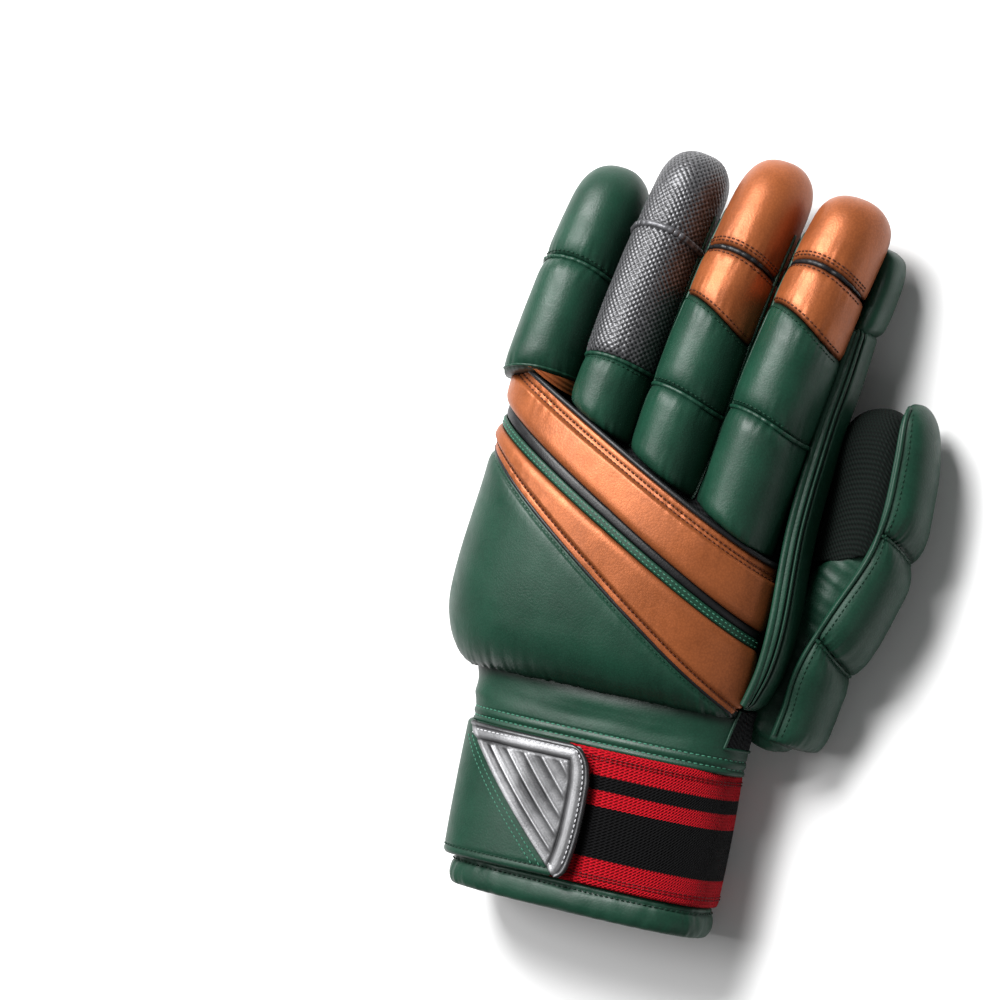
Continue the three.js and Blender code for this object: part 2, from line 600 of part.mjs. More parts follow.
// The ribbed patch in the corner between the little finger's roll, the ring finger's and the copper band.
const PATCH = { from: -0.16, to: 0.07, left: -0.66, right: 0.5, height: 11 };
function makePatch() {
  const finger = FINGERS[0];
  const rings = [PATCH.from, PATCH.to].map((share) => {
    const { at, side, up } = fingerFrame(finger, share * FINGER_LENGTH);
    const corner = (x, z) =>
      at.clone().addScaledVector(side, x * ROLL_WIDTH).addScaledVector(up, STALL_HEIGHT / 2 + z);
    const { left, right, height } = PATCH;
    return [corner(left, -4), corner(left, height - 3), corner(0, height), corner(right, height - 3), corner(right, -4)];
  });
  const beyondCrest = between(raised(LINES.crest, PIPING_WIDTH), null);
  add("ribbed_patch", biggest(loft(rings).subtract(below).intersect(beyondCrest)), COPPER_LEATHER);
}

// Turns a frame's up towards the thumb's side by the given rise above it, in degrees.
function turned(frame, turn) {
  const angle = THREE.MathUtils.degToRad(turn);
  const out = frame.side.clone().multiplyScalar(Math.cos(angle)).addScaledVector(frame.up, Math.sin(angle));
  const side = new THREE.Vector3().crossVectors(frame.ahead, out).normalize();
  return { at: frame.at, ahead: frame.ahead, side, up: out };
}

function makeThumbRolls() {
  const [top, halfWidth] = [THUMB_WIDTH / 2, THUMB_HEIGHT / 2];
  const seat = { top, halfWidth, halfHeight: top, flap: THUMB_ROLL_FLAP };
  const sizeAt = () => ({ width: THUMB_ROLL_WIDTH, height: THUMB_ROLL_HEIGHT });
  const frameAt = (distance) => {
    const turn = read(THUMB_PATH, "turn", THREE.MathUtils.clamp(distance / THUMB_LENGTH, 0, 1));
    return turned(thumbFrame(distance), turn);
  };
  for (const roll of THUMB_ROLLS) {
    let body = rollSolid(frameAt, seat, roll, THUMB_LENGTH, sizeAt, roll.name === "tip");
    if (roll.trim) body = biggest(body.subtract(palmBelow).subtract(thumbBelow));
    add(`thumb_${roll.name}_roll`, body, GREEN_LEATHER);
  }
}

// A band of leather round the wrist, open under the palm and by the thumb.
const WRIST_BAND_FOOT = 0.33; // height of its lower edges as a share of CUFF_HEIGHT
const WRIST_BAND_TILT = 0.13; // how much higher it ends on the thumb's side
function makeWristBand() {
  const whole = palmSolid(FIT + WRIST_BAND_THICKNESS).subtract(palmSolid(FIT, 5));
  const low = new THREE.BoxGeometry(400, 400, 200).rotateY(-WRIST_BAND_TILT);
  const foot = solid(low.translate(0, 0, WRIST_BAND_FOOT * CUFF_HEIGHT - 100));
  const band = whole.intersect(wristSlab(WRIST_BAND_START, WRIST_BAND_END)).subtract(foot);
  add("wrist_band", biggest(band.subtract(thumbBelow)), GREEN_LEATHER);
}

// A flat outline over the cuff, raised to a prism.
function overCuff(outline) {
  const shape = new THREE.Shape(
    outline.map(([x, y]) => new THREE.Vector2(x * CUFF_WIDTH, ELASTIC_START_Y + y * ELASTIC_LENGTH)),
  );
  const prism = new THREE.ExtrudeGeometry(shape, { depth: 2 * CUFF_HEIGHT, bevelEnabled: false });
  return solid(prism.translate(0, 0, STRAP_END_Z));
}
function makeStrap() {
  const layer = (inside, thickness) =>
    loft([cuffRing(0, inside + thickness), cuffRing(WRIST_Y - FIT, inside + thickness)])
      .subtract(loft([cuffRing(-1, inside), cuffRing(WRIST_Y + 1, inside)]));
  const tab = layer(FIT, STRAP_THICKNESS).intersect(overCuff(STRAP_OUTLINE));
  add("strap_tab", biggest(tab), GREEN_LEATHER);
  const badge = layer(2 * FIT + STRAP_THICKNESS, BADGE_THICKNESS).intersect(overCuff(BADGE_OUTLINE));
  add("strap_badge", biggest(badge), SILVER_RUBBER);
}

// A padded bar standing on edge: flat inside, rounded outside.
function barSolid(path, thickness) {
  const rings = path.map((row) => {
    const y = WRIST_Y + row.along * PALM_LENGTH;
    const half = (SIDE_BAR_HEIGHT / 2) * (0.8 + 0.2 * row.size);
    const middle = row.low * HAND_HEIGHT + SIDE_BAR_HEIGHT / 2;
    const face = row.out * PALM_WIDTH;
    return steps(10).map((share) => {
      const angle = Math.PI * (share - 0.5);
      const x = face + thickness * row.size * Math.abs(Math.cos(angle)) ** 0.45;
      return new THREE.Vector3(x, y, middle + half * signedPower(Math.sin(angle), 0.8));
    });
  });
  return loft(rings);
}
function makeSideBar() {
  const beside = below.add(panelSolid(FIT)).add(panelSolid(FIT + PIPING_RISE).intersect(between(LINES.crest, null)));
  add("side_bar", biggest(barSolid(SIDE_BAR_PATH, SIDE_BAR_THICKNESS).subtract(beside)), GREEN_LEATHER);
  add("index_side_pad", barSolid(SIDE_PAD_PATH, SIDE_PAD_THICKNESS), GREEN_LEATHER);
}

makeElastic();
makeHem();
makePalm();
makeStalls();
makePanel();
makeRolls();
makePatch();
makeThumbRolls();
makeWristBand();
makeStrap();
makeSideBar();

// The origin is the middle of the whole at ground height.
const bounds = new THREE.Box3().setFromObject(glove);
const middle = bounds.getCenter(new THREE.Vector3());
glove.position.set(-middle.x, -middle.y, -bounds.min.z);

export default glove;
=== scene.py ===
from bisect import bisect
from math import acos, asin, ceil, cos, exp, pi, sin, sqrt

import bmesh
import bpy
from mathutils import Matrix, Vector, noise


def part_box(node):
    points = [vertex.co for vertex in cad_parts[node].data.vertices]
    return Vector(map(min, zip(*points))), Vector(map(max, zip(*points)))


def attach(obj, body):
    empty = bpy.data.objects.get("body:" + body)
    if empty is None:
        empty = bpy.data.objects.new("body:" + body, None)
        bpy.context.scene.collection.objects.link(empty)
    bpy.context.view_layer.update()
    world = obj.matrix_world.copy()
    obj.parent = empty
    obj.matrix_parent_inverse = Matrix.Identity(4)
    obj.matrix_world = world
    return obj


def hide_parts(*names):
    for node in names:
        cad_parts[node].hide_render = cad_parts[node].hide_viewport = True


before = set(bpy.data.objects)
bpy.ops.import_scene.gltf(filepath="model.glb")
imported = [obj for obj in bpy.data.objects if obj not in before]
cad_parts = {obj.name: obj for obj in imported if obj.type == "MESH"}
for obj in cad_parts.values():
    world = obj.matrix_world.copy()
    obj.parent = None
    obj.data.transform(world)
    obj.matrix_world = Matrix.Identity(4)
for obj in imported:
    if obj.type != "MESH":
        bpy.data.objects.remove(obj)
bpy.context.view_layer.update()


# The hem
# A strip of green leather folded over the open end of the cuff, lightly padded and closed with one row of
# thread near its upper edge.
hem_low, hem_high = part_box("cuff_hem")
CUFF_MOUTH = Vector(((hem_low.x + hem_high.x) / 2, hem_low.y, 0))
CUFF_WIDTH = 110
CUFF_HEIGHT = 47
HEM_LENGTH = 12
HEM_WALL = 3.6
HEM_INSET = 1.5
HEM_SEAM = 9.6  # how far up the hem its row of thread runs


def at(x, y, z):
    """A place on the glove, in millimetres from the middle of the cuff's mouth, in the scene's metres."""
    return CUFF_MOUTH + Vector((x, y, z)) * 0.001


def power(value, exponent):
    return (abs(value) ** exponent) * (1 if value >= 0 else -1)


def blend(a, b, share):
    return a + (b - a) * share


def spread(start, end, step):
    """Even values from start to end, about step apart."""
    count = max(1, ceil(abs(end - start) / step))
    return [blend(start, end, i / count) for i in range(count + 1)]


def wander(x, y, z, size, key=0.0):
    """Smooth unevenness between -1 and 1, with features of about the given size."""
    return noise.noise(Vector((x / size + key, y / size, z / size - key)))


def oval(angle, left, right, low, top, y, grow):
    """A point of a flat oval whose underside is pressed level where it rests."""
    x = (right - left) / 2 + ((left + right) / 2 + grow) * power(cos(angle), 2 / 2.7)
    rise = power(sin(angle), 2 / 2.7)
    rise = max(rise * 1.2, -1) if rise < 0 else rise
    return Vector((x, y, (low + top) / 2 + rise * ((top - low) / 2 + grow)))


def cuff(angle, y, grow):
    return oval(angle, CUFF_WIDTH / 2, CUFF_WIDTH / 2, 0, CUFF_HEIGHT, y, grow)


def outward(point):
    """A point on the cuff, with its direction out from the cuff's middle."""
    return point, (point - Vector((0, point.y, CUFF_HEIGHT / 2))).normalized()


def pressed(point):
    """The point, held off the ground it lies on."""
    return Vector((point.x, point.y, max(point.z, 0.05)))


def skin(name, across, along, form, scale=(1, 1)):
    """A grid laid over form(u, v), which gives a point in millimetres and how much painted shade it gets (on
    mesh, also its holes).
    """
    shell = bmesh.new()
    uv = shell.loops.layers.uv.new("cut")
    seam = shell.verts.layers.float.new("seam")
    bmesh.ops.create_grid(shell, x_segments=len(across) - 1, y_segments=len(along) - 1, size=0.5)
    columns, lines = len(across) - 1, len(along) - 1
    for face in shell.faces:
        for loop in face.loops:
            i = round((loop.vert.co.x + 0.5) * columns)
            j = round((loop.vert.co.y + 0.5) * lines)
            loop[uv].uv = (across[i] * scale[0], along[j] * scale[1])
    for vert in shell.verts:
        i, j = round((vert.co.x + 0.5) * columns), round((vert.co.y + 0.5) * lines)
        point, depth = form(across[i], along[j])
        vert.co = at(*point)
        # This attribute is painted shade: dark in seams, grooves and where a part runs under another, and on
        # mesh also the holes.
        vert[seam] = depth
    bmesh.ops.remove_doubles(shell, verts=shell.verts, dist=2e-6)
    bmesh.ops.recalc_face_normals(shell, faces=shell.faces)
    return piece_from(shell, name)


def piece_from(shell, name):
    mesh = bpy.data.meshes.new(name)
    shell.to_mesh(mesh)
    shell.free()
    mesh.polygons.foreach_set("use_smooth", [True] * len(mesh.polygons))
    piece = bpy.data.objects.new(name, mesh)
    bpy.context.scene.collection.objects.link(piece)
    return piece


def wall(piece, thickness):
    """Gives an open skin its thickness, inwards."""
    solid = piece.modifiers.new("wall", "SOLIDIFY")
    solid.thickness = thickness * 0.001
    solid.offset = -1
    solid.use_even_offset = False
    return piece


def sew(piece, material, slot, nodes=()):
    """Puts a finished piece on the glove."""
    piece.data.materials.append(material)
    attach(piece, "root")
    if nodes:
        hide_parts(*nodes)
    return piece


def new_finish(name, roughness, metallic=0.0):
    material = bpy.data.materials.new(name)
    material.use_nodes = True
    surface = material.node_tree.nodes["Principled BSDF"]
    surface.inputs["Roughness"].default_value = roughness
    surface.inputs["Metallic"].default_value = metallic
    return material, material.node_tree, surface


def place_on(tree):
    return tree.nodes.new("ShaderNodeTexCoord").outputs["Object"]


def painted_shade_and_mesh_holes(tree):
    """How much painted shade each point gets, as skin wrote it; on mesh it also marks the holes."""
    seam = tree.nodes.new("ShaderNodeAttribute")
    seam.attribute_name = "seam"
    return seam.outputs["Fac"]


def cover(tree, surface, colour, normal, shine=0.5):
    tree.links.new(colour, surface.inputs["Base Color"])
    tree.links.new(normal, surface.inputs["Normal"])
    surface.inputs["Specular IOR Level"].default_value = shine


def texture(tree, kind, where, **values):
    node = tree.nodes.new(kind)
    for name, value in values.items():
        if name in node.inputs:
            node.inputs[name].default_value = value
        else:
            setattr(node, name, value)
    tree.links.new(where, node.inputs["Vector"])
    return node


def ranged(tree, value, low, high, to_low, to_high):
    node = tree.nodes.new("ShaderNodeMapRange")
    for name, number in zip(("From Min", "From Max", "To Min", "To Max"), (low, high, to_low, to_high)):
        node.inputs[name].default_value = number
    tree.links.new(value, node.inputs["Value"])
    return node.outputs["Result"]


def tint(tree, share, first, second):
    """A colour between two, each a colour or another tint."""
    node = tree.nodes.new("ShaderNodeMix")
    node.data_type = "RGBA"
    tree.links.new(share, node.inputs[0])
    for slot, colour in ((6, first), (7, second)):
        if isinstance(colour, tuple):
            node.inputs[slot].default_value = (*colour, 1)
        else:
            tree.links.new(colour, node.inputs[slot])
    return node.outputs[2]


def sums(tree, kind, first, second):
    node = tree.nodes.new("ShaderNodeMath")
    node.operation = kind
    for slot, value in enumerate((first, second)):
        if isinstance(value, (int, float)):
            node.inputs[slot].default_value = value
        elif value is not None:
            tree.links.new(value, node.inputs[slot])
    return node.outputs[0]


def wave(tree, value, turn):
    return sums(tree, "SINE", sums(tree, "MULTIPLY", value, turn), None)


def relief(tree, height, depth, strength, under=None):
    node = tree.nodes.new("ShaderNodeBump")
    node.inputs["Distance"].default_value = depth * 0.001
    node.inputs["Strength"].default_value = strength
    tree.links.new(height, node.inputs["Height"])
    if under:
        tree.links.new(under, node.inputs["Normal"])
    return node.outputs["Normal"]


def leather(name, colour, shade, roughness, metallic=0.0, grain=1.0):
    """Smooth coated leather: a fine pebble grain, soft creases, and painted shade in its seams and grooves.
    """
    material, tree, surface = new_finish(name, roughness, metallic)
    place = place_on(tree)
    pebble = texture(tree, "ShaderNodeTexVoronoi", place, Scale=1150.0)
    fine = texture(tree, "ShaderNodeTexNoise", place, Scale=2400.0, Detail=3.0)
    folds = dict(Scale=140.0, Detail=6.0, Roughness=0.55, Distortion=0.4)
    crease = texture(tree, "ShaderNodeTexNoise", place, **folds)
    cloud = texture(tree, "ShaderNodeTexNoise", place, Scale=55.0, Detail=3.0)
    patchy = ranged(tree, cloud.outputs["Fac"], 0.35, 0.75, 0.0, 0.3)
    pits = ranged(tree, pebble.outputs["Distance"], 0.25, 0.7, 0.0, 0.16)
    # Darker by a random mottle and the grain's pits, and by painted shade where the attribute marks seams,
    # grooves and parts under others.
    dark = sums(tree, "MAXIMUM", sums(tree, "ADD", patchy, pits), painted_shade_and_mesh_holes(tree))
    rough = ranged(tree, crease.outputs["Fac"], 0.3, 0.7, roughness - 0.05, roughness + 0.07)
    tree.links.new(rough, surface.inputs["Roughness"])
    first = relief(tree, fine.outputs["Fac"], 0.05 * grain, 0.5)
    second = relief(tree, pebble.outputs["Distance"], -0.07 * grain, 0.55, first)
    third = relief(tree, crease.outputs["Fac"], 0.3 * grain, 0.3, second)
    cover(tree, surface, tint(tree, dark, colour, shade), third, 0.3)
    return material


def thread(name, colour, roughness=0.55):
    """Twisted sewing thread."""
    material, tree, surface = new_finish(name, roughness)
    place = place_on(tree)
    twist = texture(tree, "ShaderNodeTexNoise", place, Scale=3500.0, Detail=2.0)
    shade = tuple(c * 0.55 for c in colour)
    share = ranged(tree, twist.outputs["Fac"], 0.3, 0.7, 0.0, 1.0)
    cover(tree, surface, tint(tree, share, colour, shade), relief(tree, twist.outputs["Fac"], 0.06, 0.6), 0.2)
    return material


def stitches(name, lines, material, slot, pitch=2.0, length=1.35, thick=0.5):
    """Rows of single stitches, each line a list of (point, outward direction) in millimetres."""
    rows = bmesh.new()
    for line in lines:
        row = bmesh.new()
        travelled, following = 0.0, pitch / 2
        for (a, out), (b, _) in zip(line, line[1:]):
            step = (b - a).length
            while step > 0 and following <= travelled + step:
                place = a.lerp(b, (following - travelled) / step)
                place.z = max(place.z, 0.75 * thick)  # no stitch below the ground
                ahead = (b - a).normalized()
                side = ahead.cross(out).normalized()
                up = side.cross(ahead)
                turn = Matrix((ahead, side, up)).transposed().to_4x4()
                size = Matrix.Diagonal((length / 2, thick / 2, thick * 0.42, 1)) * 0.001
                size[3][3] = 1
                spot = Matrix.Translation(at(*place)) @ turn @ size
                lie_down = Matrix.Rotation(pi / 2, 4, "Y")
                bmesh.ops.create_uvsphere(row, u_segments=6, v_segments=5, radius=1, matrix=spot @ lie_down)
                following += pitch
            travelled += step
        sewn = bpy.data.meshes.new(name + "_row")
        row.to_mesh(sewn)
        row.free()
        rows.from_mesh(sewn)
        bpy.data.meshes.remove(sewn)
    return sew(piece_from(rows, name), material, slot)


def cord(name, lines, radius, material, slot, tapered=False):
    """Piping: leather wrapped round a string and sewn in, along lines of points in millimetres.

    A tapered one is thickest in its middle."""
    rope = bpy.data.curves.new(name, "CURVE")
    rope.dimensions = "3D"
    rope.bevel_depth = radius * 0.001
    rope.bevel_resolution = 3
    rope.use_fill_caps = True
    for line in lines:
        spline = rope.splines.new("POLY")
        spline.points.add(len(line) - 1)
        for i, (point, where) in enumerate(zip(spline.points, line)):
            point.co = (*at(*where), 1)
            point.radius = 0.25 + 0.75 * sin(pi * i / (len(line) - 1)) if tapered else 1
    drawn = bpy.data.objects.new(name + "_line", rope)
    bpy.context.scene.collection.objects.link(drawn)
    bpy.context.view_layer.update()
    mesh = bpy.data.meshes.new_from_object(drawn.evaluated_get(bpy.context.evaluated_depsgraph_get()))
    bpy.data.objects.remove(drawn)
    mesh.polygons.foreach_set("use_smooth", [True] * len(mesh.polygons))
    mesh.name = name
    piece = bpy.data.objects.new(name, mesh)
    bpy.context.scene.collection.objects.link(piece)
    return sew(piece, material, slot)


GREEN = (0.0062, 0.042, 0.0235)
DEEP_GREEN = (0.001, 0.006, 0.0036)
green_leather = leather("green leather", GREEN, DEEP_GREEN, 0.45)
green_thread = thread("green thread", (0.004, 0.034, 0.018))
pale_thread = thread("pale green thread", (0.05, 0.2, 0.13))


def hem_form(around, fold):
    angle, turn = around * 2 * pi, fold * 2 * pi
    out = HEM_WALL / 2 * power(cos(turn), 0.8)
    y = HEM_LENGTH / 2 * (1 + power(sin(turn), 0.62))
    point = cuff(angle, y, -HEM_INSET - HEM_WALL / 2 + out)
    _, away = outward(point)
    pull = 0.35 * wander(point.x, point.y * 0.35, point.z, 4) + 0.4 * wander(*point, 16)
    groove = 0.7 * exp(-(((y - HEM_SEAM) / 0.7) ** 2)) if cos(turn) > 0 else 0
    puff = 0.9 * sin(pi * min(y / HEM_SEAM, 1)) if cos(turn) > 0 else 0
    gathered = exp(-y / 4) + 0.5 * exp(-abs(y - HEM_SEAM) / 2)
    folds = 0.9 * noise.noise(Vector((around * 85, y * 0.12, 3.0))) * gathered
    swell = pull + puff - groove + folds
    # The stitched groove is also painted darker: painted shade.
    return pressed(point + away * swell), min(1.0, groove)


hem = skin("folded_hem", spread(0, 1, 1 / 220), spread(0, 1, 1 / 44), hem_form)
sew(hem, green_leather, "green_leather", ["cuff_hem"])


def cuff_line(y, grow):
    return [outward(cuff(share * 2 * pi, y, grow)) for share in spread(0, 1, 1 / 300)]


hem_row = cuff_line(HEM_SEAM, -HEM_INSET + 0.1)
stitches("hem_stitches", [hem_row], green_thread, "green_leather", 2.2, 1.6, 0.7)


# The elastic cuff
# A wide knitted elastic in red and black stripes, its two edges overstitched in dark red thread.
ELASTIC_START = HEM_LENGTH + 0.3
ELASTIC_LENGTH = 52.5
ELASTIC_WALL = 2
WRIST = ELASTIC_START + ELASTIC_LENGTH
# What the weave is spaced by: a nominal length round the cuff, some 7% over the measured one.
CUFF_ROUND = 285
RIB_SPACING = 1.55
ROW_SPACING = 1.25


def striped_elastic():
    material, tree, surface = new_finish("striped elastic", 0.78)
    split = tree.nodes.new("ShaderNodeSeparateXYZ")
    tree.links.new(tree.nodes.new("ShaderNodeTexCoord").outputs["UV"], split.inputs[0])
    round_cuff, up_cuff = split.outputs["X"], split.outputs["Y"]
    rib = wave(tree, round_cuff, 2 * pi / RIB_SPACING)
    row = wave(tree, up_cuff, 2 * pi / ROW_SPACING)
    knot = sums(tree, "MULTIPLY", rib, row)
    weave = sums(tree, "ADD", sums(tree, "MULTIPLY", rib, 0.45), knot)
    ragged = sums(tree, "ADD", up_cuff, sums(tree, "MULTIPLY", rib, 0.16))
    share = sums(tree, "DIVIDE", ragged, ELASTIC_LENGTH)
    stripes = tree.nodes.new("ShaderNodeValToRGB")
    stripes.color_ramp.interpolation = "CONSTANT"
    red, black = (0.45, 0.004, 0.012, 1), (0.003, 0.003, 0.0035, 1)
    bands = [(0.0, red), (0.2, black), (0.585, red), (0.7, black), (0.805, red)]
    stops = stripes.color_ramp.elements
    while len(stops) < len(bands):
        stops.new(1.0)
    for stop, (start, colour) in zip(stops, bands):
        stop.position, stop.color = start, colour
    tree.links.new(share, stripes.inputs["Fac"])
    deep = tree.nodes.new("ShaderNodeMix")
    deep.data_type = "RGBA"
    deep.blend_type = "MULTIPLY"
    tree.links.new(ranged(tree, weave, -1.2, 0.6, 1.0, 0.0), deep.inputs[0])
    tree.links.new(stripes.outputs["Color"], deep.inputs[6])
    deep.inputs[7].default_value = (0.38, 0.3, 0.32, 1)
    place = place_on(tree)
    fluff = texture(tree, "ShaderNodeTexNoise", place, Scale=2600.0, Detail=3.0)
    soft = relief(tree, fluff.outputs["Fac"], 0.12, 0.5)
    cover(tree, surface, deep.outputs[2], relief(tree, weave, 0.42, 0.9, soft), 0.1)
    return material


def elastic_form(around, up):
    y = ELASTIC_START + up * (ELASTIC_LENGTH - 0.3)
    edge = min(up, 1 - up) * ELASTIC_LENGTH
    swell = 0.45 * sin(pi * up) - 0.5 * exp(-((edge / 0.8) ** 2))
    swell -= 0.12 * exp(-(((edge - 3.2) / 0.6) ** 2))
    point = cuff(around * 2 * pi, y, swell)
    return pressed(point + Vector((0, 0, 0.15 * wander(*point, 20)))), 0.0


cloth_size = (CUFF_ROUND, ELASTIC_LENGTH)
elastic_skin = skin("striped_cuff", spread(0, 1, 1 / 220), spread(0, 1, 1 / 50), elastic_form, cloth_size)
sew(wall(elastic_skin, ELASTIC_WALL - 0.2), striped_elastic(), "striped_elastic", ["wrist_elastic"])
dark_red_thread = thread("dark red thread", (0.12, 0.002, 0.004))
insets = (3.0, 4.1, ELASTIC_LENGTH - 3.3, ELASTIC_LENGTH - 4.4)
edge_rows = [cuff_line(ELASTIC_START + inset, 0.25) for inset in insets]
stitches("elastic_stitches", edge_rows, dark_red_thread, "striped_elastic", 2.0, 1.7, 0.55)


# The strap
# A tab of green leather that closes the cuff, sewn on at the little finger's side and held on top by a
# hidden hook and loop patch. Two slanting rows of thread run beside the badge and one along its lower edge.
STRAP_GROW = 0.3 + 2.6
STRAP_END_ANGLE = pi + asin(0.52 ** 1.35)


def read(rows, name, along):
    """A smooth value through stations, each a dictionary with its own place along."""
    last = len(rows) - 1
    i = next((k for k in range(last) if along <= rows[k + 1]["along"]), last - 1)
    a, b = rows[i], rows[i + 1]
    before, after = rows[max(i - 1, 0)], rows[min(i + 2, last)]

    def slope(p, q):
        return (q[name] - p[name]) / max(q["along"] - p["along"], 1e-6)

    span = b["along"] - a["along"]
    t = min(max((along - a["along"]) / span, 0), 1)
    m0, m1 = slope(before, b) * span, slope(a, after) * span
    return (
        (2 * t**3 - 3 * t**2 + 1) * a[name]
        + (t**3 - 2 * t**2 + t) * m0
        + (3 * t**2 - 2 * t**3) * b[name]
        + (t**3 - t**2) * m1
    )


def stations(names, *rows):
    return [dict(zip(names.split(), row)) for row in rows]


# How far round the cuff a piece on it reaches, measured on its surface from the top.
ROUND = spread(-pi / 2, 1.5 * pi, pi / 720)
ROUND_LENGTHS = [0.0]
for here, there in zip(ROUND, ROUND[1:]):
    ROUND_LENGTHS.append(ROUND_LENGTHS[-1] + (cuff(there, 0, STRAP_GROW) - cuff(here, 0, STRAP_GROW)).length)


def length_at(angle):
    i = min(max(bisect(ROUND, angle) - 1, 0), len(ROUND) - 2)
    share = (angle - ROUND[i]) / (ROUND[i + 1] - ROUND[i])
    return blend(ROUND_LENGTHS[i], ROUND_LENGTHS[i + 1], share)


def angle_at(length):
    i = min(max(bisect(ROUND_LENGTHS, length) - 1, 0), len(ROUND) - 2)
    share = (length - ROUND_LENGTHS[i]) / (ROUND_LENGTHS[i + 1] - ROUND_LENGTHS[i])
    return blend(ROUND[i], ROUND[i + 1], share)


def angle_over(x, grow):
    """The angle at which the top of the cuff is at x."""
    share = min(max(x / (CUFF_WIDTH / 2 + grow), -1), 1)
    return acos(power(share, 1.35))


STRAP_TIP = stations(
    "along x",
    (0, -0.035),
    (0.03, -0.012),
    (0.08, 0.01),
    (0.25, 0.035),
    (0.5, 0.044),
    (0.7, 0.038),
    (0.85, 0.018),
    (0.95, -0.012),
    (1, -0.055),
)


def strap_edges(x):
    low = -0.02 + (x / CUFF_WIDTH + 0.5) * 0.05
    return ELASTIC_START + low * ELASTIC_LENGTH, ELASTIC_START + ELASTIC_LENGTH


def strap_place(share, up, grow):
    tip = length_at(angle_over(read(STRAP_TIP, "x", up) * CUFF_WIDTH, grow))
    angle = angle_at(blend(length_at(STRAP_END_ANGLE), tip, share))
    low, top = strap_edges(cuff(angle, 0, grow).x)
    return angle, blend(low, top, up)


def strap_form(share, up):
    angle, y = strap_place(share, up, STRAP_GROW)
    low, top = strap_edges(cuff(angle, 0, STRAP_GROW).x)
    edge = min(y - low, top - y)
    round_off = 0.9 * max(0, 1 - edge / 1.6) ** 2
    ditch = 0.35 * exp(-(((y - low - 3.2) / 0.7) ** 2))
    point = cuff(angle, y, STRAP_GROW - round_off - ditch + 0.3 * sin(pi * up))
    # Painted shade in the ditch beside the row of thread.
    return point + Vector((0, 0, 0.25 * wander(*point, 18))), min(1, ditch * 1.4)


strap = skin("strap_leather", spread(0, 1, 1 / 110), spread(0, 1, 1 / 80), strap_form)
sew(wall(strap, 2.3), green_leather, "green_leather", ["strap_tab"])


def on_strap(share, up):
    angle, y = strap_place(share, up, STRAP_GROW)
    return outward(cuff(angle, y, STRAP_GROW))


strap_row = [on_strap(share, 0.062) for share in spread(0.02, 0.93, 0.01)]
stitches("strap_edge_stitches", [strap_row], green_thread, "green_leather", 2.1, 1.5, 0.65)


# The badge
# A moulded silver rubber corner piece sewn over the strap's end: a raised rim, a double row of grey thread
# and plain parallel ribs.
BADGE_GROW = 0.6 + 2.6 + 2.0
BADGE_RIGHT = stations(
    "along x",
    (0, 0.008),
    (0.04, 0.03),
    (0.12, 0.044),
    (0.3, 0.057),
    (0.5, 0.062),
    (0.7, 0.061),
    (0.8, 0.055),
    (0.87, 0.045),
    (0.93, 0.027),
    (0.97, 0.004),
    (1, -0.035),
)
RIB_PITCH = 5.0


def badge_place(share, up):
    """x and y on the badge, share from the slanting edge to the strap's tip."""
    right = read(BADGE_RIGHT, "x", up) * CUFF_WIDTH
    slant = -1.5 - 0.462 * CUFF_WIDTH * up - 1.6 * sin(pi * up)
    x = blend(slant, right, share)
    return x, ELASTIC_START + ELASTIC_LENGTH * blend(0.012, 0.995, up), right, slant


def badge_relief(share, up):
    x, y, right, slant = badge_place(share, up)
    from_top = (1 - up) * 0.94 * ELASTIC_LENGTH
    from_right = right - x
    from_slant = (x - slant) * 0.65
    edge = min(from_top, from_right, from_slant)
    rim = min(from_top * 1.3, from_right)
    height = 1.5 * (1 - max(0, 1 - edge / 1.2) ** 2)
    height -= 0.4 * exp(-(((rim - 2.2) / 0.5) ** 2))
    height += 0.35 * exp(-(((rim - 5.2) / 1.5) ** 4))
    height -= 0.45 * exp(-(((rim - 8.0) / 0.6) ** 2))
    height += 0.25 * exp(-(((from_slant - 1.4) / 0.8) ** 4))
    if rim > 8.4 and from_slant > 2.6:
        phase = ((from_slant - 2.6) % RIB_PITCH) / RIB_PITCH
        crest = exp(-(((phase - 0.6) / 0.11) ** 2)) - 0.3 * exp(-(((phase - 0.25) / 0.2) ** 2))
        fade = min(1, (rim - 8.4) / 1.4) * min(1, (from_slant - 2.6) / 1.2)
        height += 0.8 * crest * fade
    return height


def badge_form(share, up):
    x, y, _, _ = badge_place(share, up)
    height = badge_relief(share, up)
    point = cuff(angle_over(x, BADGE_GROW), y, BADGE_GROW - 1.2 + height)
    # Painted shade and highlight: the lower the relief, the darker, so grooves are shaded and the rim and
    # ribs stand lightest.
    return point, max(0.0, min(1.0, 0.95 * (2.15 - height)))


def silver_rubber():
    material, tree, surface = new_finish("silver rubber", 0.42, 0.6)
    place = place_on(tree)
    grain = texture(tree, "ShaderNodeTexNoise", place, Scale=1500.0, Detail=4.0)
    cloud = texture(tree, "ShaderNodeTexNoise", place, Scale=90.0, Detail=3.0)
    # Painted shade in the badge's grooves and a painted highlight on its rim and ribs, plus a random cloud.
    share = sums(tree, "ADD", painted_shade_and_mesh_holes(tree), ranged(tree, cloud.outputs["Fac"], 0.4, 0.8, 0.0, 0.4))
    colour = tint(tree, share, (0.36, 0.36, 0.37), (0.035, 0.035, 0.037))
    tree.links.new(ranged(tree, grain.outputs["Fac"], 0.3, 0.7, 0.36, 0.52), surface.inputs["Roughness"])
    cover(tree, surface, colour, relief(tree, grain.outputs["Fac"], 0.12, 0.75))
    return material


badge = skin("moulded_badge", spread(0, 1, 1 / 150), spread(0, 1, 1 / 125), badge_form)
sew(wall(badge, 2.0), silver_rubber(), "silver_rubber", ["strap_badge"])


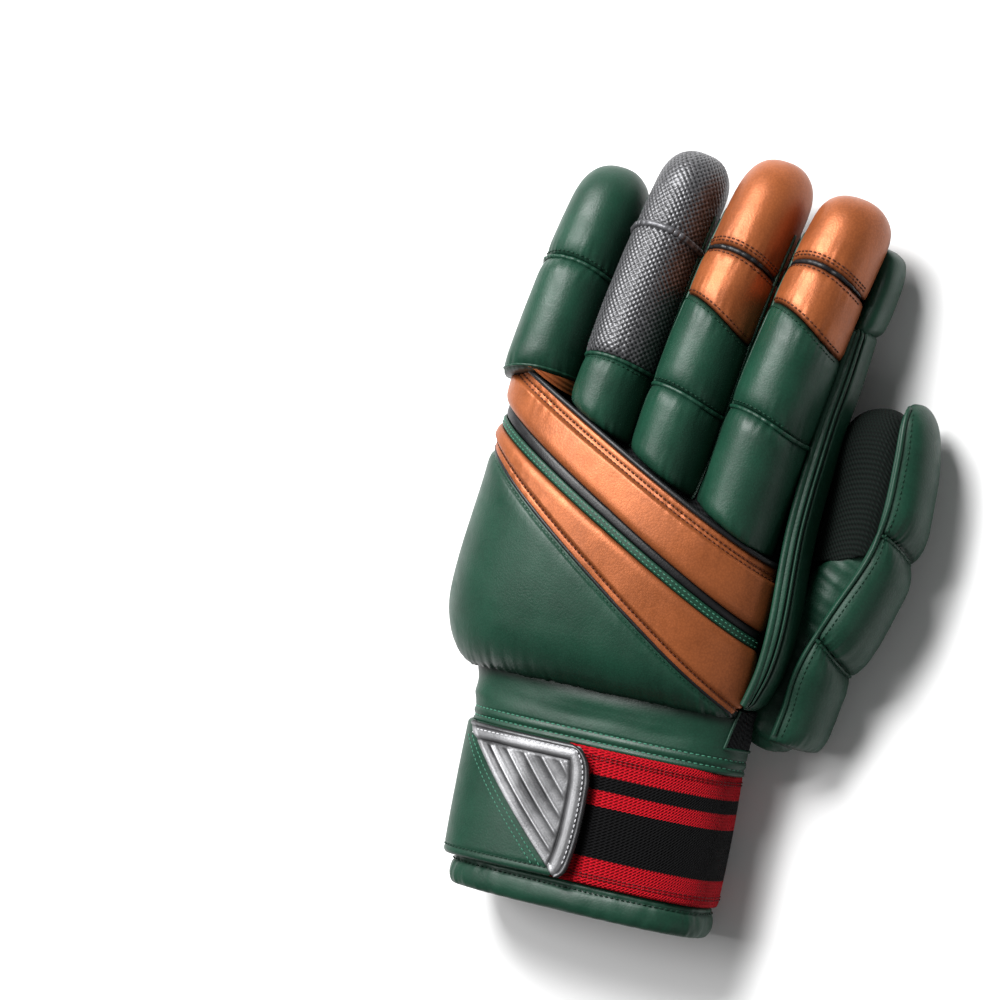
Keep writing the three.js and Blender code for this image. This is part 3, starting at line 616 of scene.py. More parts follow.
def badge_row(inset):
    """A row at one distance inside the badge's top and tip."""
    line = []
    for up in spread(0.1, 1 - inset / (0.94 * 1.3 * ELASTIC_LENGTH), 0.01):
        x, y, _, _ = badge_place(1, up)
        line.append((x - inset, y))
    for x in spread(line[-1][0], -0.44 * CUFF_WIDTH, 0.8):
        line.append((x, line[-1][1] - 0.012))
    return [outward(cuff(angle_over(x, BADGE_GROW), y, BADGE_GROW + 0.25)) for x, y in line]


grey_thread = thread("grey thread", (0.6, 0.6, 0.62), 0.45)
stitches("badge_stitches", [badge_row(2.6), badge_row(4.4)], grey_thread, "silver_rubber", 2.1, 1.6, 0.7)


def beside_badge(away):
    row = []
    for up in spread(0.05, 0.9, 0.01):
        _, y, _, slant = badge_place(0, up)
        grow = STRAP_GROW + 0.1
        angle = angle_at(length_at(angle_over(slant, grow)) + away)
        row.append(outward(cuff(angle, y, grow)))
    return row


slant_rows = [beside_badge(3.5), beside_badge(7.0)]
stitches("strap_slant_stitches", slant_rows, pale_thread, "green_leather", 2.0, 1.5, 0.6)


# The hand
# A tube of soft green leather under the palm and a dark knitted lining over the back, sewn together along
# the sides and open at the wrist and into each finger.
PALM_LENGTH = 128
PALM_WIDTH = 130
HAND_HEIGHT = 50
ARCH_RISE = 20
KNUCKLES = WRIST + PALM_LENGTH
PALM = stations(
    "along left right low top",
    (0, 0.415, 0.42, 0, 0.86),
    (0.18, 0.44, 0.43, 0, 0.88),
    (0.32, 0.51, 0.44, 0, 0.94),
    (0.48, 0.52, 0.45, 0.05, 1),
    (0.66, 0.5, 0.46, 0.42, 1.02),
    (0.84, 0.49, 0.47, 0.86, 0.98),
    (1, 0.485, 0.475, 1, 0.9),
)


def palm_size(y):
    along = min(max((y - WRIST) / PALM_LENGTH, 0), 1)
    left, right = (read(PALM, side, along) * PALM_WIDTH for side in ("left", "right"))
    return left, right, read(PALM, "low", along) * ARCH_RISE, read(PALM, "top", along) * HAND_HEIGHT


def palm(angle, y, grow):
    return oval(angle, *palm_size(y), y, grow)


def back_of_hand(x, y):
    """Height of the back of the hand at x and y."""
    left, right, low, top = palm_size(y)
    reach = min(abs(x - (right - left) / 2) / ((left + right) / 2), 1)
    return (low + top) / 2 + (top - low) / 2 * (1 - reach**2.7) ** (1 / 2.7)


def softened(node, name, cell, rounds, folds=0.0):
    """A copy of a cut piece with its corners worn round and its leather creased across."""
    shell = bmesh.new()
    shell.from_mesh(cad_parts[node].data)
    bmesh.ops.remove_doubles(shell, verts=shell.verts, dist=1e-5)
    rough = piece_from(shell, name + "_rough")
    fine = rough.modifiers.new("cells", "REMESH")
    fine.mode = "VOXEL"
    fine.voxel_size = cell * 0.001
    bpy.context.view_layer.update()
    mesh = bpy.data.meshes.new_from_object(rough.evaluated_get(bpy.context.evaluated_depsgraph_get()))
    bpy.data.objects.remove(rough)
    shell = bmesh.new()
    shell.from_mesh(mesh)
    for _ in range(rounds):
        bmesh.ops.smooth_vert(
            shell, verts=shell.verts, factor=0.5, use_axis_x=True, use_axis_y=True, use_axis_z=True
        )
    shell.normal_update()
    for vert in shell.verts:
        x, y, z = vert.co * 1000
        crease = noise.noise(Vector((x * 0.07, (y + 0.5 * x) * 0.28, z * 0.09)))
        vert.co += vert.normal * (folds * 0.001 * (crease - 0.2))
        vert.co.z = max(vert.co.z, 0.00005)
    return piece_from(shell, name)


def knit(name, colour, shade, pitch, roughness=0.8):
    """Plain dark knitted cloth, its loops in slanting rows."""
    material, tree, surface = new_finish(name, roughness)
    place = place_on(tree)
    split = tree.nodes.new("ShaderNodeSeparateXYZ")
    tree.links.new(place, split.inputs[0])
    x, y, z = (split.outputs[axis] for axis in "XYZ")
    turn = 2000 * pi / pitch
    slope = sums(tree, "MULTIPLY", y, 0.75)
    first = wave(tree, sums(tree, "ADD", x, slope), turn)
    second = wave(tree, sums(tree, "SUBTRACT", z, slope), turn)
    loops = sums(tree, "ADD", first, second)
    share = ranged(tree, loops, -1.6, 0.8, 1.0, 0.0)
    cover(tree, surface, tint(tree, share, colour, shade), relief(tree, loops, 0.16, 0.7), 0.15)
    return material


black_knit = knit("black knit", (0.01, 0.011, 0.012), (0.0015, 0.0015, 0.002), 1.5)
palm_leather = leather("palm leather", (0.012, 0.062, 0.036), DEEP_GREEN, 0.52, grain=1.3)
sew(softened("palm_leather", "palm", 1.3, 8, 0.7), palm_leather, "green_leather", ["palm_leather"])
sew(softened("back_lining", "lining", 1.7, 6), black_knit, "black_mesh", ["back_lining"])


# The finger stalls
# Four soft tubes that hold the fingers, black knit between the padding and closed at their ends.
FINGER_LENGTH = 105
STALL_WIDTH = 25
STALL_HEIGHT = 24
STALL_WALL = 1.8
STALL_TIP_GAP = 9
FINGERS = stations(
    "along name across lean reach width sink",
    (0, "little", -0.386, 0.115, 0.875, 1.08, 0.07),
    (1, "ring", -0.141, 0.115, 0.965, 1, 0.01),
    (2, "middle", 0.103, 0.14, 0.985, 1.08, 0),
    (3, "index", 0.364, 0.145, 0.885, 1.12, 0.03),
)
LITTLE, RING, MIDDLE, INDEX = FINGERS


def axes(place, distance):
    """Where a finger is at a distance along it, and its directions ahead, to the side and up."""
    ahead = (place(distance + 0.5) - place(distance - 0.5)).normalized()
    side = ahead.cross(Vector((0, 0, 1))).normalized()
    return place(distance), ahead, side, side.cross(ahead)


def finger_axes(finger, distance):
    length = finger["reach"] * FINGER_LENGTH

    def place(d):
        low = 1 if d < 0 else max(1 - (d / length) ** 2, 0)
        return Vector(
            (
                finger["across"] * PALM_WIDTH + finger["lean"] * d,
                KNUCKLES + d,
                low * (ARCH_RISE - finger["sink"] * HAND_HEIGHT) + STALL_HEIGHT / 2,
            )
        )

    return axes(place, distance)


def stall_form(finger):
    length = finger["reach"] * FINGER_LENGTH - STALL_TIP_GAP

    def form(around, along):
        distance = blend(0.4, length, along)
        place, ahead, side, up = finger_axes(finger, distance)
        full = 1 if along < 0.72 else max(0, 1 - ((along - 0.72) / 0.28) ** 2.6) ** 0.45
        angle = around * 2 * pi
        rise = max(power(sin(angle), 0.85), -0.93)
        point = place + side * (STALL_WIDTH / 2 * full * power(cos(angle), 0.85))
        return point + up * (STALL_HEIGHT / 2 * full * rise), 0.0

    return form


stall_rows = [*spread(0, 0.7, 0.03), *spread(0.72, 1, 0.012)]
for finger in FINGERS:
    name = finger["name"]
    sleeve = skin(name + "_finger", spread(0, 1, 1 / 64), stall_rows, stall_form(finger))
    sew(wall(sleeve, STALL_WALL - 0.2), black_knit, "black_mesh", [name + "_stall"])


# The finger padding
# Foam rolls under leather on the back of each finger, quilted into segments. The seams between segments are
# pulled down by thread, so each one is a crowned pillow, and the last one of each finger is a round dome.
ROLL_WIDTH = 30
ROLL_HEIGHT = 21
ROLL_NARROWING = 0.09
ROLL_LOWERING = 0.27
ROLL_FLAP = 3.5
SADDLE_GAP = 0.7
CREST = (1.13, 0.615)
PIPING_WIDTH = 2.2
ARCH_SHARE = 0.74  # share of a roll's girth that is its visible arch
TIP_START = 0.45  # where along a last roll its dome begins
GIRTH = 70  # nominal girth that the leather's folds and the mesh are spaced by


def line_y(line, x):
    """Where a slanting line across the back is at x."""
    return WRIST + PALM_LENGTH * blend(line[0], line[1], x / PALM_WIDTH + 0.5)


def quilted(distance, reach, depth):
    """How far a padded surface dips at a distance from a seam."""
    return depth * (1 - sqrt(max(0, 1 - (1 - distance / reach) ** 2))) if distance < reach else 0.0


def pucker(across, distance, key, amount=0.55):
    """Small folds that run into a seam."""
    return amount * noise.noise(Vector((across * 0.5, distance * 0.09, key))) * exp(-distance / 4.2)


def section(seat, half_width, height, around):
    """A point of a roll's cross section: over its arch, then back through the hollow for the finger."""
    flap = seat["flap"]
    if around <= ARCH_SHARE:
        angle = around / ARCH_SHARE * pi
        return half_width * power(cos(angle), 2 / 2.25), -flap + (height + flap) * sin(angle) ** (2 / 2.25)
    x = half_width * (2 * (around - ARCH_SHARE) / (1 - ARCH_SHARE) - 1)
    reach = min(abs(x) / (seat["half_width"] + SADDLE_GAP), 1)
    drop = (seat["half_height"] + SADDLE_GAP) * (1 - sqrt(1 - reach**2.35))
    crown = (height + flap) * max(0, 1 - (abs(x) / half_width) ** 2.25) ** (1 / 2.25) - flap
    return x, max(min(SADDLE_GAP - drop, crown - 0.8), -flap)


FINGER_SEAT = {
    "top": STALL_HEIGHT / 2,
    "half_width": STALL_WIDTH / 2,
    "half_height": STALL_HEIGHT / 2,
    "flap": ROLL_FLAP,
}


def finger_size(finger, distance):
    out = max(distance, 0) / FINGER_LENGTH
    half_width = ROLL_WIDTH / 2 * finger["width"] * (1 - ROLL_NARROWING * out)
    return half_width, ROLL_HEIGHT * (1 - ROLL_LOWERING * out)


def crest_start(finger, x):
    """How far along its finger a roll begins, where it meets the piping."""
    distance = -20.0
    for _ in range(12):
        place, ahead, side, up = finger_axes(finger, distance)
        there = place + side * x
        distance += 0.8 * (line_y(CREST, there.x) + PIPING_WIDTH - there.y)
    return distance


def crest_line(finger):
    """The same as a quick table over the finger's width."""
    starts = [crest_start(finger, x) for x in range(-24, 25)]

    def start(x):
        i = min(max(int(x + 24), 0), 47)
        return blend(starts[i], starts[i + 1], x + 24 - i)

    return start


def roll_surface(roll, around, along, lift=0.0):
    """A point on a roll, its outward direction and its painted shade, with the mesh's holes on mesh rolls."""
    seat = roll["seat"]
    middle = blend(roll["near"](0), roll["far"](0), along)
    half_width, height = roll["size"](middle)
    x, _ = section(seat, half_width, height, around)
    near, far = roll["near"](x), roll["far"](x)
    distance = blend(near, far, along)
    from_near, from_far = max(0, distance - near), max(0, far - distance)
    half_width, height = roll["size"](distance)
    dip = quilted(from_near, roll["round"][0], roll["depth"][0])
    waist = quilted(from_near, roll["round"][0], 0.9)
    if not roll["tip"]:
        dip += quilted(from_far, roll["round"][1], roll["depth"][1])
        waist += quilted(from_far, roll["round"][1], 0.9)
    x, z = section(seat, half_width - waist, height - dip, around)
    if roll["tip"] and along > TIP_START:
        t = (along - TIP_START) / (1 - TIP_START)
        if around > ARCH_SHARE:
            z = blend(z, -seat["flap"], t * t)
        x *= max(0, 1 - t**3.4) ** (1 / 2.4)
        z *= max(0, 1 - t**2.7) ** (1 / 1.85)
    place, ahead, side, up = roll["axes"](distance)
    on_top = around < ARCH_SHARE
    out = (side * x + up * (z + seat["flap"])).normalized() if on_top else up * -1
    if roll["tip"]:
        out = (out + ahead * max(0, along - 0.6) * 1.6).normalized()
    point = place + side * x + up * (seat["top"] + z)
    seam = 0.0
    if on_top:
        girth = around * GIRTH
        swell = pucker(girth, from_near, roll["key"]) + 0.3 * wander(*point, 15, roll["key"])
        if not roll["tip"]:
            swell += pucker(girth, from_far, roll["key"] + 7)
        foot = min(around, ARCH_SHARE - around) / ARCH_SHARE
        swell *= min(1, foot * 9)
        swell += roll["weave"](girth, distance, foot) if roll["weave"] else 0
        # Painted shade: darker near both seams and along the foot beside the next finger.
        far_seam = 0 if roll["tip"] else exp(-from_far / 1.5)
        seam = max(0.85 * max(exp(-from_near / 1.5), far_seam), 0.6 * exp(-foot * 28))
        if roll["weave"]:
            seam = max(seam, 1 - lozenges(girth, distance))
        point = point + out * (swell + lift)
    elif distance < 8 and roll["over_palm"]:
        point.z = max(point.z, back_of_hand(point.x, min(point.y, KNUCKLES)) + 0.4)
    return point, out, seam


def across(start, slant, bow=0.0):
    """A seam's place over its roll: slanting, and bowed towards the wrist at both sides."""
    return lambda x: start - slant * x - bow * x * x


def make_roll(name, roll, material, slot, nodes):
    length = roll["far"](0) - roll["near"](0)
    step = roll["step"] / length
    along = spread(0, 1, step)
    if roll["tip"]:
        turns = spread(0.04, pi / 2, 1.5708 / (0.62 / step))
        along = [*spread(0, TIP_START, step), *[TIP_START + (1 - TIP_START) * sin(turn) for turn in turns]]
    arch = spread(0, ARCH_SHARE, ARCH_SHARE / roll["girths"])
    around = [*arch, *spread(ARCH_SHARE, 1, (1 - ARCH_SHARE) / 16)[1:]]
    ends = [(0, 0.0), (0, 0.7), *[(v, 1.0) for v in along]]
    if not roll["tip"]:
        ends += [(1, 0.7), (1, 0.0)]

    def form(u, row):
        share, full = ends[int(row)]
        point, _, seam = roll_surface(roll, u, share)
        if full < 1:
            low = roll["axes"](blend(roll["near"](0), roll["far"](0), share))
            heart = low[0] + low[3] * (roll["seat"]["top"] + 4)
            # The end caps down in the seams are painted fully dark, as shade.
            return heart.lerp(point, full), 1.0
        return point, seam

    rows = [float(i) for i in range(len(ends))]
    piece = skin(name, around, rows, form, (GIRTH, length / len(rows)))
    sew(piece, material, slot, nodes)


copper_leather = leather("copper leather", (0.33, 0.093, 0.028), (0.04, 0.008, 0.0025), 0.42, 0.4, 0.9)
black_leather = leather("black leather", (0.007, 0.007, 0.008), (0.002, 0.002, 0.002), 0.42)
brown_thread = thread("brown thread", (0.08, 0.019, 0.007))


def grey_mesh():
    """Coated grey mesh cloth: light raised lozenges over dark holes, and painted shade at the rolls' seams
    and feet.
    """
    material, tree, surface = new_finish("grey mesh", 0.38, 0.4)
    cloud = texture(tree, "ShaderNodeTexNoise", place_on(tree), Scale=900.0, Detail=4.0)
    share = ranged(tree, cloud.outputs["Fac"], 0.3, 0.7, 0.0, 1.0)
    colour = tint(tree, share, (0.13, 0.13, 0.137), (0.04, 0.04, 0.043))
    # The attribute gives both the mesh's holes and the painted shade at the rolls' seams and feet.
    hole = ranged(tree, painted_shade_and_mesh_holes(tree), 0.45, 0.85, 0.0, 1.0)
    holed = tint(tree, hole, colour, (0.005, 0.005, 0.006))
    cover(tree, surface, holed, relief(tree, cloud.outputs["Fac"], 0.12, 0.6))
    return material


MESH_PITCH = 2.5


def lozenges(girth, distance):
    return 0.5 + 0.5 * cos(2 * pi * girth / MESH_PITCH) * cos(2 * pi * distance / (MESH_PITCH * 0.86))


def woven(girth, distance, foot):
    return 0.6 * lozenges(girth, distance) * min(1, foot * 12)


# finger, segment, start and end in shares of a finger's length, slants of its two seams, then how round and
# how deep each seam is pulled in.
SEAM_BOW = 0.008
ROLLS = [
    (LITTLE, "mid", 0.085, 0.485, -0.16, 0, (8, 7), (6.5, 4.6)),
    (LITTLE, "tip", 0.488, 0.875, 0, 0, (7, 6), (4.4, 4)),
    (RING, "base", None, 0.18, 0, 0, (6, 7), (5, 4.2)),
    (RING, "mid", 0.182, 0.64, 0, 0, (5, 3), (3.4, 1.8)),
    (RING, "tip", 0.642, 0.965, 0, 0, (3, 3), (1.8, 1)),
    (MIDDLE, "base", None, 0.105, 0, 0.12, (6, 7), (5, 4.8)),
    (MIDDLE, "lower", 0.107, 0.398, 0.12, 0.34, (7, 5), (4.8, 2.2)),
    (MIDDLE, "upper", 0.4, 0.596, 0.34, 0.06, (4, 4), (1.5, 2.8)),
    (MIDDLE, "tip", 0.608, 0.985, 0.06, 0, (5, 5), (3.2, 1)),
    (INDEX, "base", None, 0.07, 0, 0.16, (6, 7), (5, 4.8)),
    (INDEX, "lower", 0.072, 0.413, 0.16, 0.34, (7, 5), (4.8, 2.2)),
    (INDEX, "upper", 0.415, 0.586, 0.34, 0.06, (4, 4), (1.5, 2.8)),
    (INDEX, "tip", 0.598, 0.885, 0.06, 0, (5, 5), (3.2, 1)),
]
COPPER_ROLLS = {"middle_upper", "middle_tip", "index_upper", "index_tip"}
MESH_ROLLS = {"ring_mid", "ring_tip"}
rolls = {}
for key, (finger, part, start, end, near_slant, far_slant, rounds, depths) in enumerate(ROLLS):
    name = finger["name"] + "_" + part
    rolls[name] = {
        "finger": finger,
        "seat": FINGER_SEAT,
        "axes": lambda d, finger=finger: finger_axes(finger, d),
        "size": lambda d, finger=finger: finger_size(finger, d),
        "near": crest_line(finger) if start is None else across(start * FINGER_LENGTH, near_slant, SEAM_BOW),
        "far": across(end * FINGER_LENGTH, far_slant, 0 if part == "tip" else SEAM_BOW),
        "round": rounds,
        "depth": depths,
        "tip": part == "tip",
        "key": key * 3.7 + 1,
        "weave": woven if name in MESH_ROLLS else None,
        "step": 0.42 if name in MESH_ROLLS else 0.75,
        "girths": 168 if name in MESH_ROLLS else 96,
        "over_palm": True,
    }
grey_cloth = grey_mesh()
for name, roll in rolls.items():
    if name in MESH_ROLLS:
        finish, slot = grey_cloth, "grey_mesh"
    elif name in COPPER_ROLLS:
        finish, slot = copper_leather, "copper_leather"
    else:
        finish, slot = green_leather, "green_leather"
    make_roll(name + "_padding", roll, finish, slot, [name + "_roll"])


# The seams of the fingers
# Between two green segments a thin welt of the same leather stands in the seam. The copper segments have
# rows of brown thread beside their seams, and a black gap between the last two.
def points(row):
    return [point for point, _ in row]


def across_roll(roll, inset, far=False, lift=0.0, start=0.06, end=0.94):
    """A line over a roll at a distance from one of its seams."""
    line = []
    length = roll["far"](0) - roll["near"](0)
    share = 1 - inset / length if far else inset / length
    for around in spread(start * ARCH_SHARE, end * ARCH_SHARE, 0.008):
        point, out, _ = roll_surface(roll, around, share, lift)
        line.append((point, out))
    return line


welted = ("little_mid", "ring_base", "middle_base", "index_base")
welts = [points(across_roll(rolls[name], 0.1, True, 0.9, 0.03, 0.97)) for name in welted]
cord("finger_welts", welts, 0.85, green_leather, "green_leather")
low_welt = points(across_roll(rolls["little_mid"], 2.0, False, -0.1, 0.06, 0.8))
cord("little_finger_foot", [low_welt], 0.6, green_leather, "green_leather")
near_sewn = ("little_tip", "middle_lower", "index_lower")
far_sewn = ("middle_lower", "index_lower", "ring_base")
green_rows = [across_roll(rolls[name], 1.6, False, 0.15) for name in near_sewn]
green_rows += [across_roll(rolls[name], 1.7, True, 0.15) for name in far_sewn]
stitches("finger_stitches", green_rows, green_thread, "green_leather", 2.1, 1.5, 0.65)
copper_sewn = [("_upper", 1.5, False), ("_upper", 1.6, True), ("_tip", 1.6, False), ("_tip", 2.6, False)]
copper_rows = [
    across_roll(rolls[name + part], inset, far, 0.15)
    for name in ("middle", "index")
    for part, inset, far in copper_sewn
]
stitches("copper_stitches", copper_rows, brown_thread, "copper_leather", 2.1, 1.5, 0.7)
gapped = ("middle_upper", "index_upper")
gaps = [points(across_roll(rolls[name], -0.6, True, 0.6, 0.08, 0.92)) for name in gapped]
cord("copper_gaps", gaps, 1.15, black_leather, "black_leather", True)
mesh_band = points(across_roll(rolls["ring_mid"], 0.1, True, 0.75, 0.04, 0.96))
grey_coating = leather("grey coating", (0.11, 0.11, 0.118), (0.03, 0.03, 0.03), 0.4, 0.5)
cord("mesh_seam_band", [mesh_band], 1.4, grey_coating, "grey_mesh")


def down_side(segments, share, lift, end):
    """A line down one side of a row of rolls, bending in round the last one's tip."""
    line = []
    for roll in segments:
        length = roll["far"](0) - roll["near"](0)
        for v in spread(2.5 / length, end if roll["tip"] else 1 - 1.5 / length, 1.4 / length):
            point, out, _ = roll_surface(roll, share * ARCH_SHARE, v, lift)
            line.append((point, out))
    point, out = line[-1]
    return [*line, (point - out * 2.5, out)]


sides = []
for finger in FINGERS:
    segments = [roll for roll in rolls.values() if roll["finger"] is finger]
    if finger is not LITTLE:
        sides.append(points(down_side(segments, 0.9, 0.1, 0.4)))
    if finger is not INDEX:
        sides.append(points(down_side(segments, 0.06, 0.1, 0.4)))
cord("finger_side_piping", sides, 0.75, green_leather, "green_leather")


# The back of the hand
# One thick foam pad under green leather, crossed by two slanting copper bands. Between the bands lie a
# stitched green strip and a smooth black one, and black piping runs along the upper band's crest.
PANEL_THICKNESS = 15
PANEL = stations(
    "along left right foot far_foot thick",
    (0.165, 0.455, 0.44, 0.64, 0.78, 0.12),
    (0.18, 0.485, 0.45, 0.6, 0.78, 0.42),
    (0.215, 0.525, 0.47, 0.5, 0.78, 0.74),
    (0.27, 0.557, 0.482, 0.42, 0.78, 0.94),
    (0.36, 0.575, 0.485, 0.4, 0.78, 1),
    (0.48, 0.565, 0.49, 0.42, 0.78, 1),
    (0.65, 0.535, 0.49, 0.5, 0.76, 1),
    (0.85, 0.505, 0.49, 0.6, 0.74, 1),
    (1.09, 0.48, 0.49, 0.66, 0.72, 0.95),
)
BAND_FOOT = (0.99, 0.415)
BLACK_FOOT = (0.95, 0.388)
INLAY_FOOT = (0.918, 0.355)
LOWER_FOOT = (0.845, 0.115)
PANEL_FOOT = (0.165, 0.165)


def panel_station(along):
    row = {name: read(PANEL, name, along) for name in ("left", "right", "foot", "far_foot", "thick")}
    foot = row["foot"] * HAND_HEIGHT
    top = read(PALM, "top", min(along, 1)) * HAND_HEIGHT + row["thick"] * PANEL_THICKNESS
    return row["left"] * PALM_WIDTH, row["right"] * PALM_WIDTH, foot, row["far_foot"] * HAND_HEIGHT, top


PANEL_STATIONS = [panel_station(along) for along in spread(0.165, 1.09, 0.004)]


def panel_section(y):
    share = (min(max((y - WRIST) / PALM_LENGTH, 0.165), 1.09) - 0.165) / 0.925 * (len(PANEL_STATIONS) - 1)
    i = min(int(share), len(PANEL_STATIONS) - 2)
    return [blend(a, b, share - i) for a, b in zip(PANEL_STATIONS[i], PANEL_STATIONS[i + 1])]


def panel(share, y, grow=0.0):
    """A point on the pad, share from the little finger's side to the index finger's."""
    left, right, foot, far_foot, top = panel_section(y)
    edge = asin(min(max((far_foot - foot) / (top - foot), 0), 1) ** 1.35)
    angle = blend(pi, edge, share)
    x = (right - left) / 2 + ((left + right) / 2 + grow) * power(cos(angle), 2 / 2.7)
    return Vector((x, y, foot + (top - foot + grow) * sin(angle) ** (2 / 2.7)))


def panel_between(share, lower, upper, w, grow=0.0):
    """The point at a share w of the way from one slanting line to another."""
    y = WRIST + PALM_LENGTH / 2
    for _ in range(5):
        x = panel(share, y).x
        y = blend(line_y(lower, x), line_y(upper, x), w)
    return panel(share, y, grow)


def panel_out(share, y):
    here = panel(share, y)
    along = panel(share, y + 0.5) - panel(share, y - 0.5)
    low, high = max(share - 0.004, 0), min(share + 0.004, 1)
    out = (panel(high, y) - panel(low, y)).cross(along).normalized()
    return out if out.z > -0.2 else -out


def strip(name, node, lower, upper, profile, rows, material, slot, thickness, key):
    """One sewn strip of the pad. profile gives its rise and its painted shade from its distances to both
    edges.
    """

    def form(share, w):
        point = panel_between(share, lower, upper, w)
        width = (line_y(upper, point.x) - line_y(lower, point.x)) * 0.88
        rise, seam = profile(w * width, (1 - w) * width, point)
        side = min(share, 1 - share)
        rise -= 1.6 * max(0, 1 - side / 0.035) ** 2
        rise += 0.25 * wander(*point, 17, key)
        return point + panel_out(share, point.y) * rise, min(1, seam)

    piece = skin(name, spread(0, 1, 1 / 175), rows, form)
    sew(wall(piece, thickness), material, slot, [node])


def eased(count):
    return [0.5 - 0.5 * cos(pi * i / count) for i in range(count + 1)]


def pad_profile(from_low, from_high, point):
    dip = quilted(from_high, 7, 3.0)
    fold = 0.5 * exp(-(((from_high - 2.2) / 0.6) ** 2))
    crease = pucker(point.x, from_high, 31.0, 0.35) + pucker(point.x, from_low, 33.0, 0.8)
    # Painted shade along both edges, and a painted shadow line along the pad's lower edge.
    return 0.3 - dip - fold + crease, max(0.9 * exp(-from_high / 0.9), 0.9 * exp(-from_low / 1.6))


def lower_profile(from_low, from_high, point):
    margin = min(1, max(0, (from_low - 3.0) / 2.2))
    swell = blend(-0.7, 0.9, margin * margin * (3 - 2 * margin))
    ditch = 0.55 * exp(-(((from_low - 3.1) / 0.5) ** 2))
    swell -= quilted(from_high, 4.0, 2.0) + quilted(from_low, 1.0, 1.0)
    folds = pucker(point.x, abs(from_low - 3), 51.0, 0.3)
    # Painted shade at the upper edge and in the stitched ditch.
    return swell - ditch + folds, max(0.7 * exp(-from_high / 0.7), ditch)


def upper_profile(from_low, from_high, point):
    margin = min(1, max(0, (from_high - 3.4) / 2.4))
    swell = blend(-0.6, 1.0, margin * margin * (3 - 2 * margin))
    ditch = 0.5 * exp(-(((from_high - 2.6) / 0.45) ** 2)) + 0.5 * exp(-(((from_high - 4.2) / 0.45) ** 2))
    swell -= quilted(from_low, 4.0, 2.6) + quilted(from_high, 1.0, 0.8)
    folds = pucker(point.x, abs(from_high - 3.5), 41.0, 0.3)
    # Painted shade at the lower edge and in the two stitched ditches.
    return swell - ditch + folds, max(0.7 * exp(-from_low / 0.7), ditch)


def inlay_profile(from_low, from_high, point):
    edge = min(from_low, from_high)
    # Painted shade along both sunken edges.
    return -0.7 - quilted(edge, 1.2, 0.8), 0.5 * exp(-edge / 0.5)


def black_profile(from_low, from_high, point):
    edge = min(from_low, from_high)
    return -1.3 - quilted(edge, 1.6, 0.9), 0.0


GREEN_FACE = (green_leather, "green_leather")
COPPER_FACE = (copper_leather, "copper_leather")
BLACK_FACE = (black_leather, "black_leather")
# name, the solid it stands for, its two edges, its profile, its rows of mesh, leather, thickness, key
STRIPS = [
    ("back_pad", "back_panel", PANEL_FOOT, LOWER_FOOT, pad_profile, 108, GREEN_FACE, 3, 1.0),
    ("lower_copper_band", "lower_band", LOWER_FOOT, INLAY_FOOT, lower_profile, 44, COPPER_FACE, 2.6, 2.0),
    ("green_strip", "green_inlay", INLAY_FOOT, BLACK_FOOT, inlay_profile, 12, GREEN_FACE, 2.6, 3.0),
    ("black_strip", "black_inlay", BLACK_FOOT, BAND_FOOT, black_profile, 12, BLACK_FACE, 2.6, 4.0),
    ("upper_copper_band", "upper_band", BAND_FOOT, CREST, upper_profile, 44, COPPER_FACE, 2.6, 5.0),
]
for name, node, lower, upper, profile, count, (material, slot), thickness, key in STRIPS:
    strip(name, node, lower, upper, profile, eased(count), material, slot, thickness, key)


def panel_row(line, offset, rise, start=0.03, end=0.985):
    """A line across the pad beside one of its seams, offset in millimetres towards the fingers."""
    row = []
    moved = tuple(end_point + offset / 0.88 / PALM_LENGTH for end_point in line)
    for share in spread(start, end, 0.004):
        point = panel_between(share, moved, moved, 0.5)
        out = panel_out(share, point.y)
        row.append((point + out * rise, out))
    return row


crest_rows = [panel_row(CREST, -2.6, -0.6), panel_row(CREST, -4.2, -0.4)]
stitches("upper_band_stitches", crest_rows, brown_thread, "copper_leather", 2.1, 1.5, 0.7)
foot_row = panel_row(LOWER_FOOT, 3.1, -0.6)
stitches("lower_band_stitches", [foot_row], brown_thread, "copper_leather", 2.1, 1.5, 0.7)
strip_rows = [panel_row(INLAY_FOOT, 1.1, -0.75), panel_row(BLACK_FOOT, -1.0, -0.75)]
stitches("strip_stitches", strip_rows, pale_thread, "green_leather", 2.0, 1.4, 0.55)
pad_row = panel_row(LOWER_FOOT, -2.2, -1.1)
stitches("pad_stitches", [pad_row], green_thread, "green_leather", 2.1, 1.5, 0.6)
crest_edge = points(panel_row(CREST, 0.9, 0.2, 0.004, 0.996))
crest_piping = cord("crest_piping", [crest_edge], 1.05, black_leather, "black_leather")
foot_edge = points(panel_row(LOWER_FOOT, -0.1, -1.3, 0.01, 0.99))
cord("band_foot_piping", [foot_edge], 0.8, black_leather, "black_leather")
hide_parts("band_piping")


# The ribbed patch
# A small corner of copper leather between the crest, the little finger's padding and the ring finger's, with
# fine raised ribs that let the corner bend.
PATCH_HALF_WIDTH = 15.5
PATCH_HEIGHT = 17.5
PATCH_RIB_PITCH = 1.7
patch_start = crest_line(LITTLE)


def patch_form(around, along):
    x, z = section(FINGER_SEAT, PATCH_HALF_WIDTH, PATCH_HEIGHT, around)
    near = patch_start(x + 0.8)
    distance = blend(near, 10.2, along)
    place, ahead, side, up = finger_axes(LITTLE, distance)
    rib = 0.35 * cos(2 * pi * (distance + 0.35 * x) / PATCH_RIB_PITCH) if around < ARCH_SHARE else 0
    point = place + side * (x + 0.8) + up * (STALL_HEIGHT / 2 + z + rib)
    if around > ARCH_SHARE:
        point.z = max(point.z, back_of_hand(point.x, min(point.y, KNUCKLES)) + 0.4)
    # Painted shade in the troughs between the ribs.
    return point, max(0.0, -rib) * 1.2


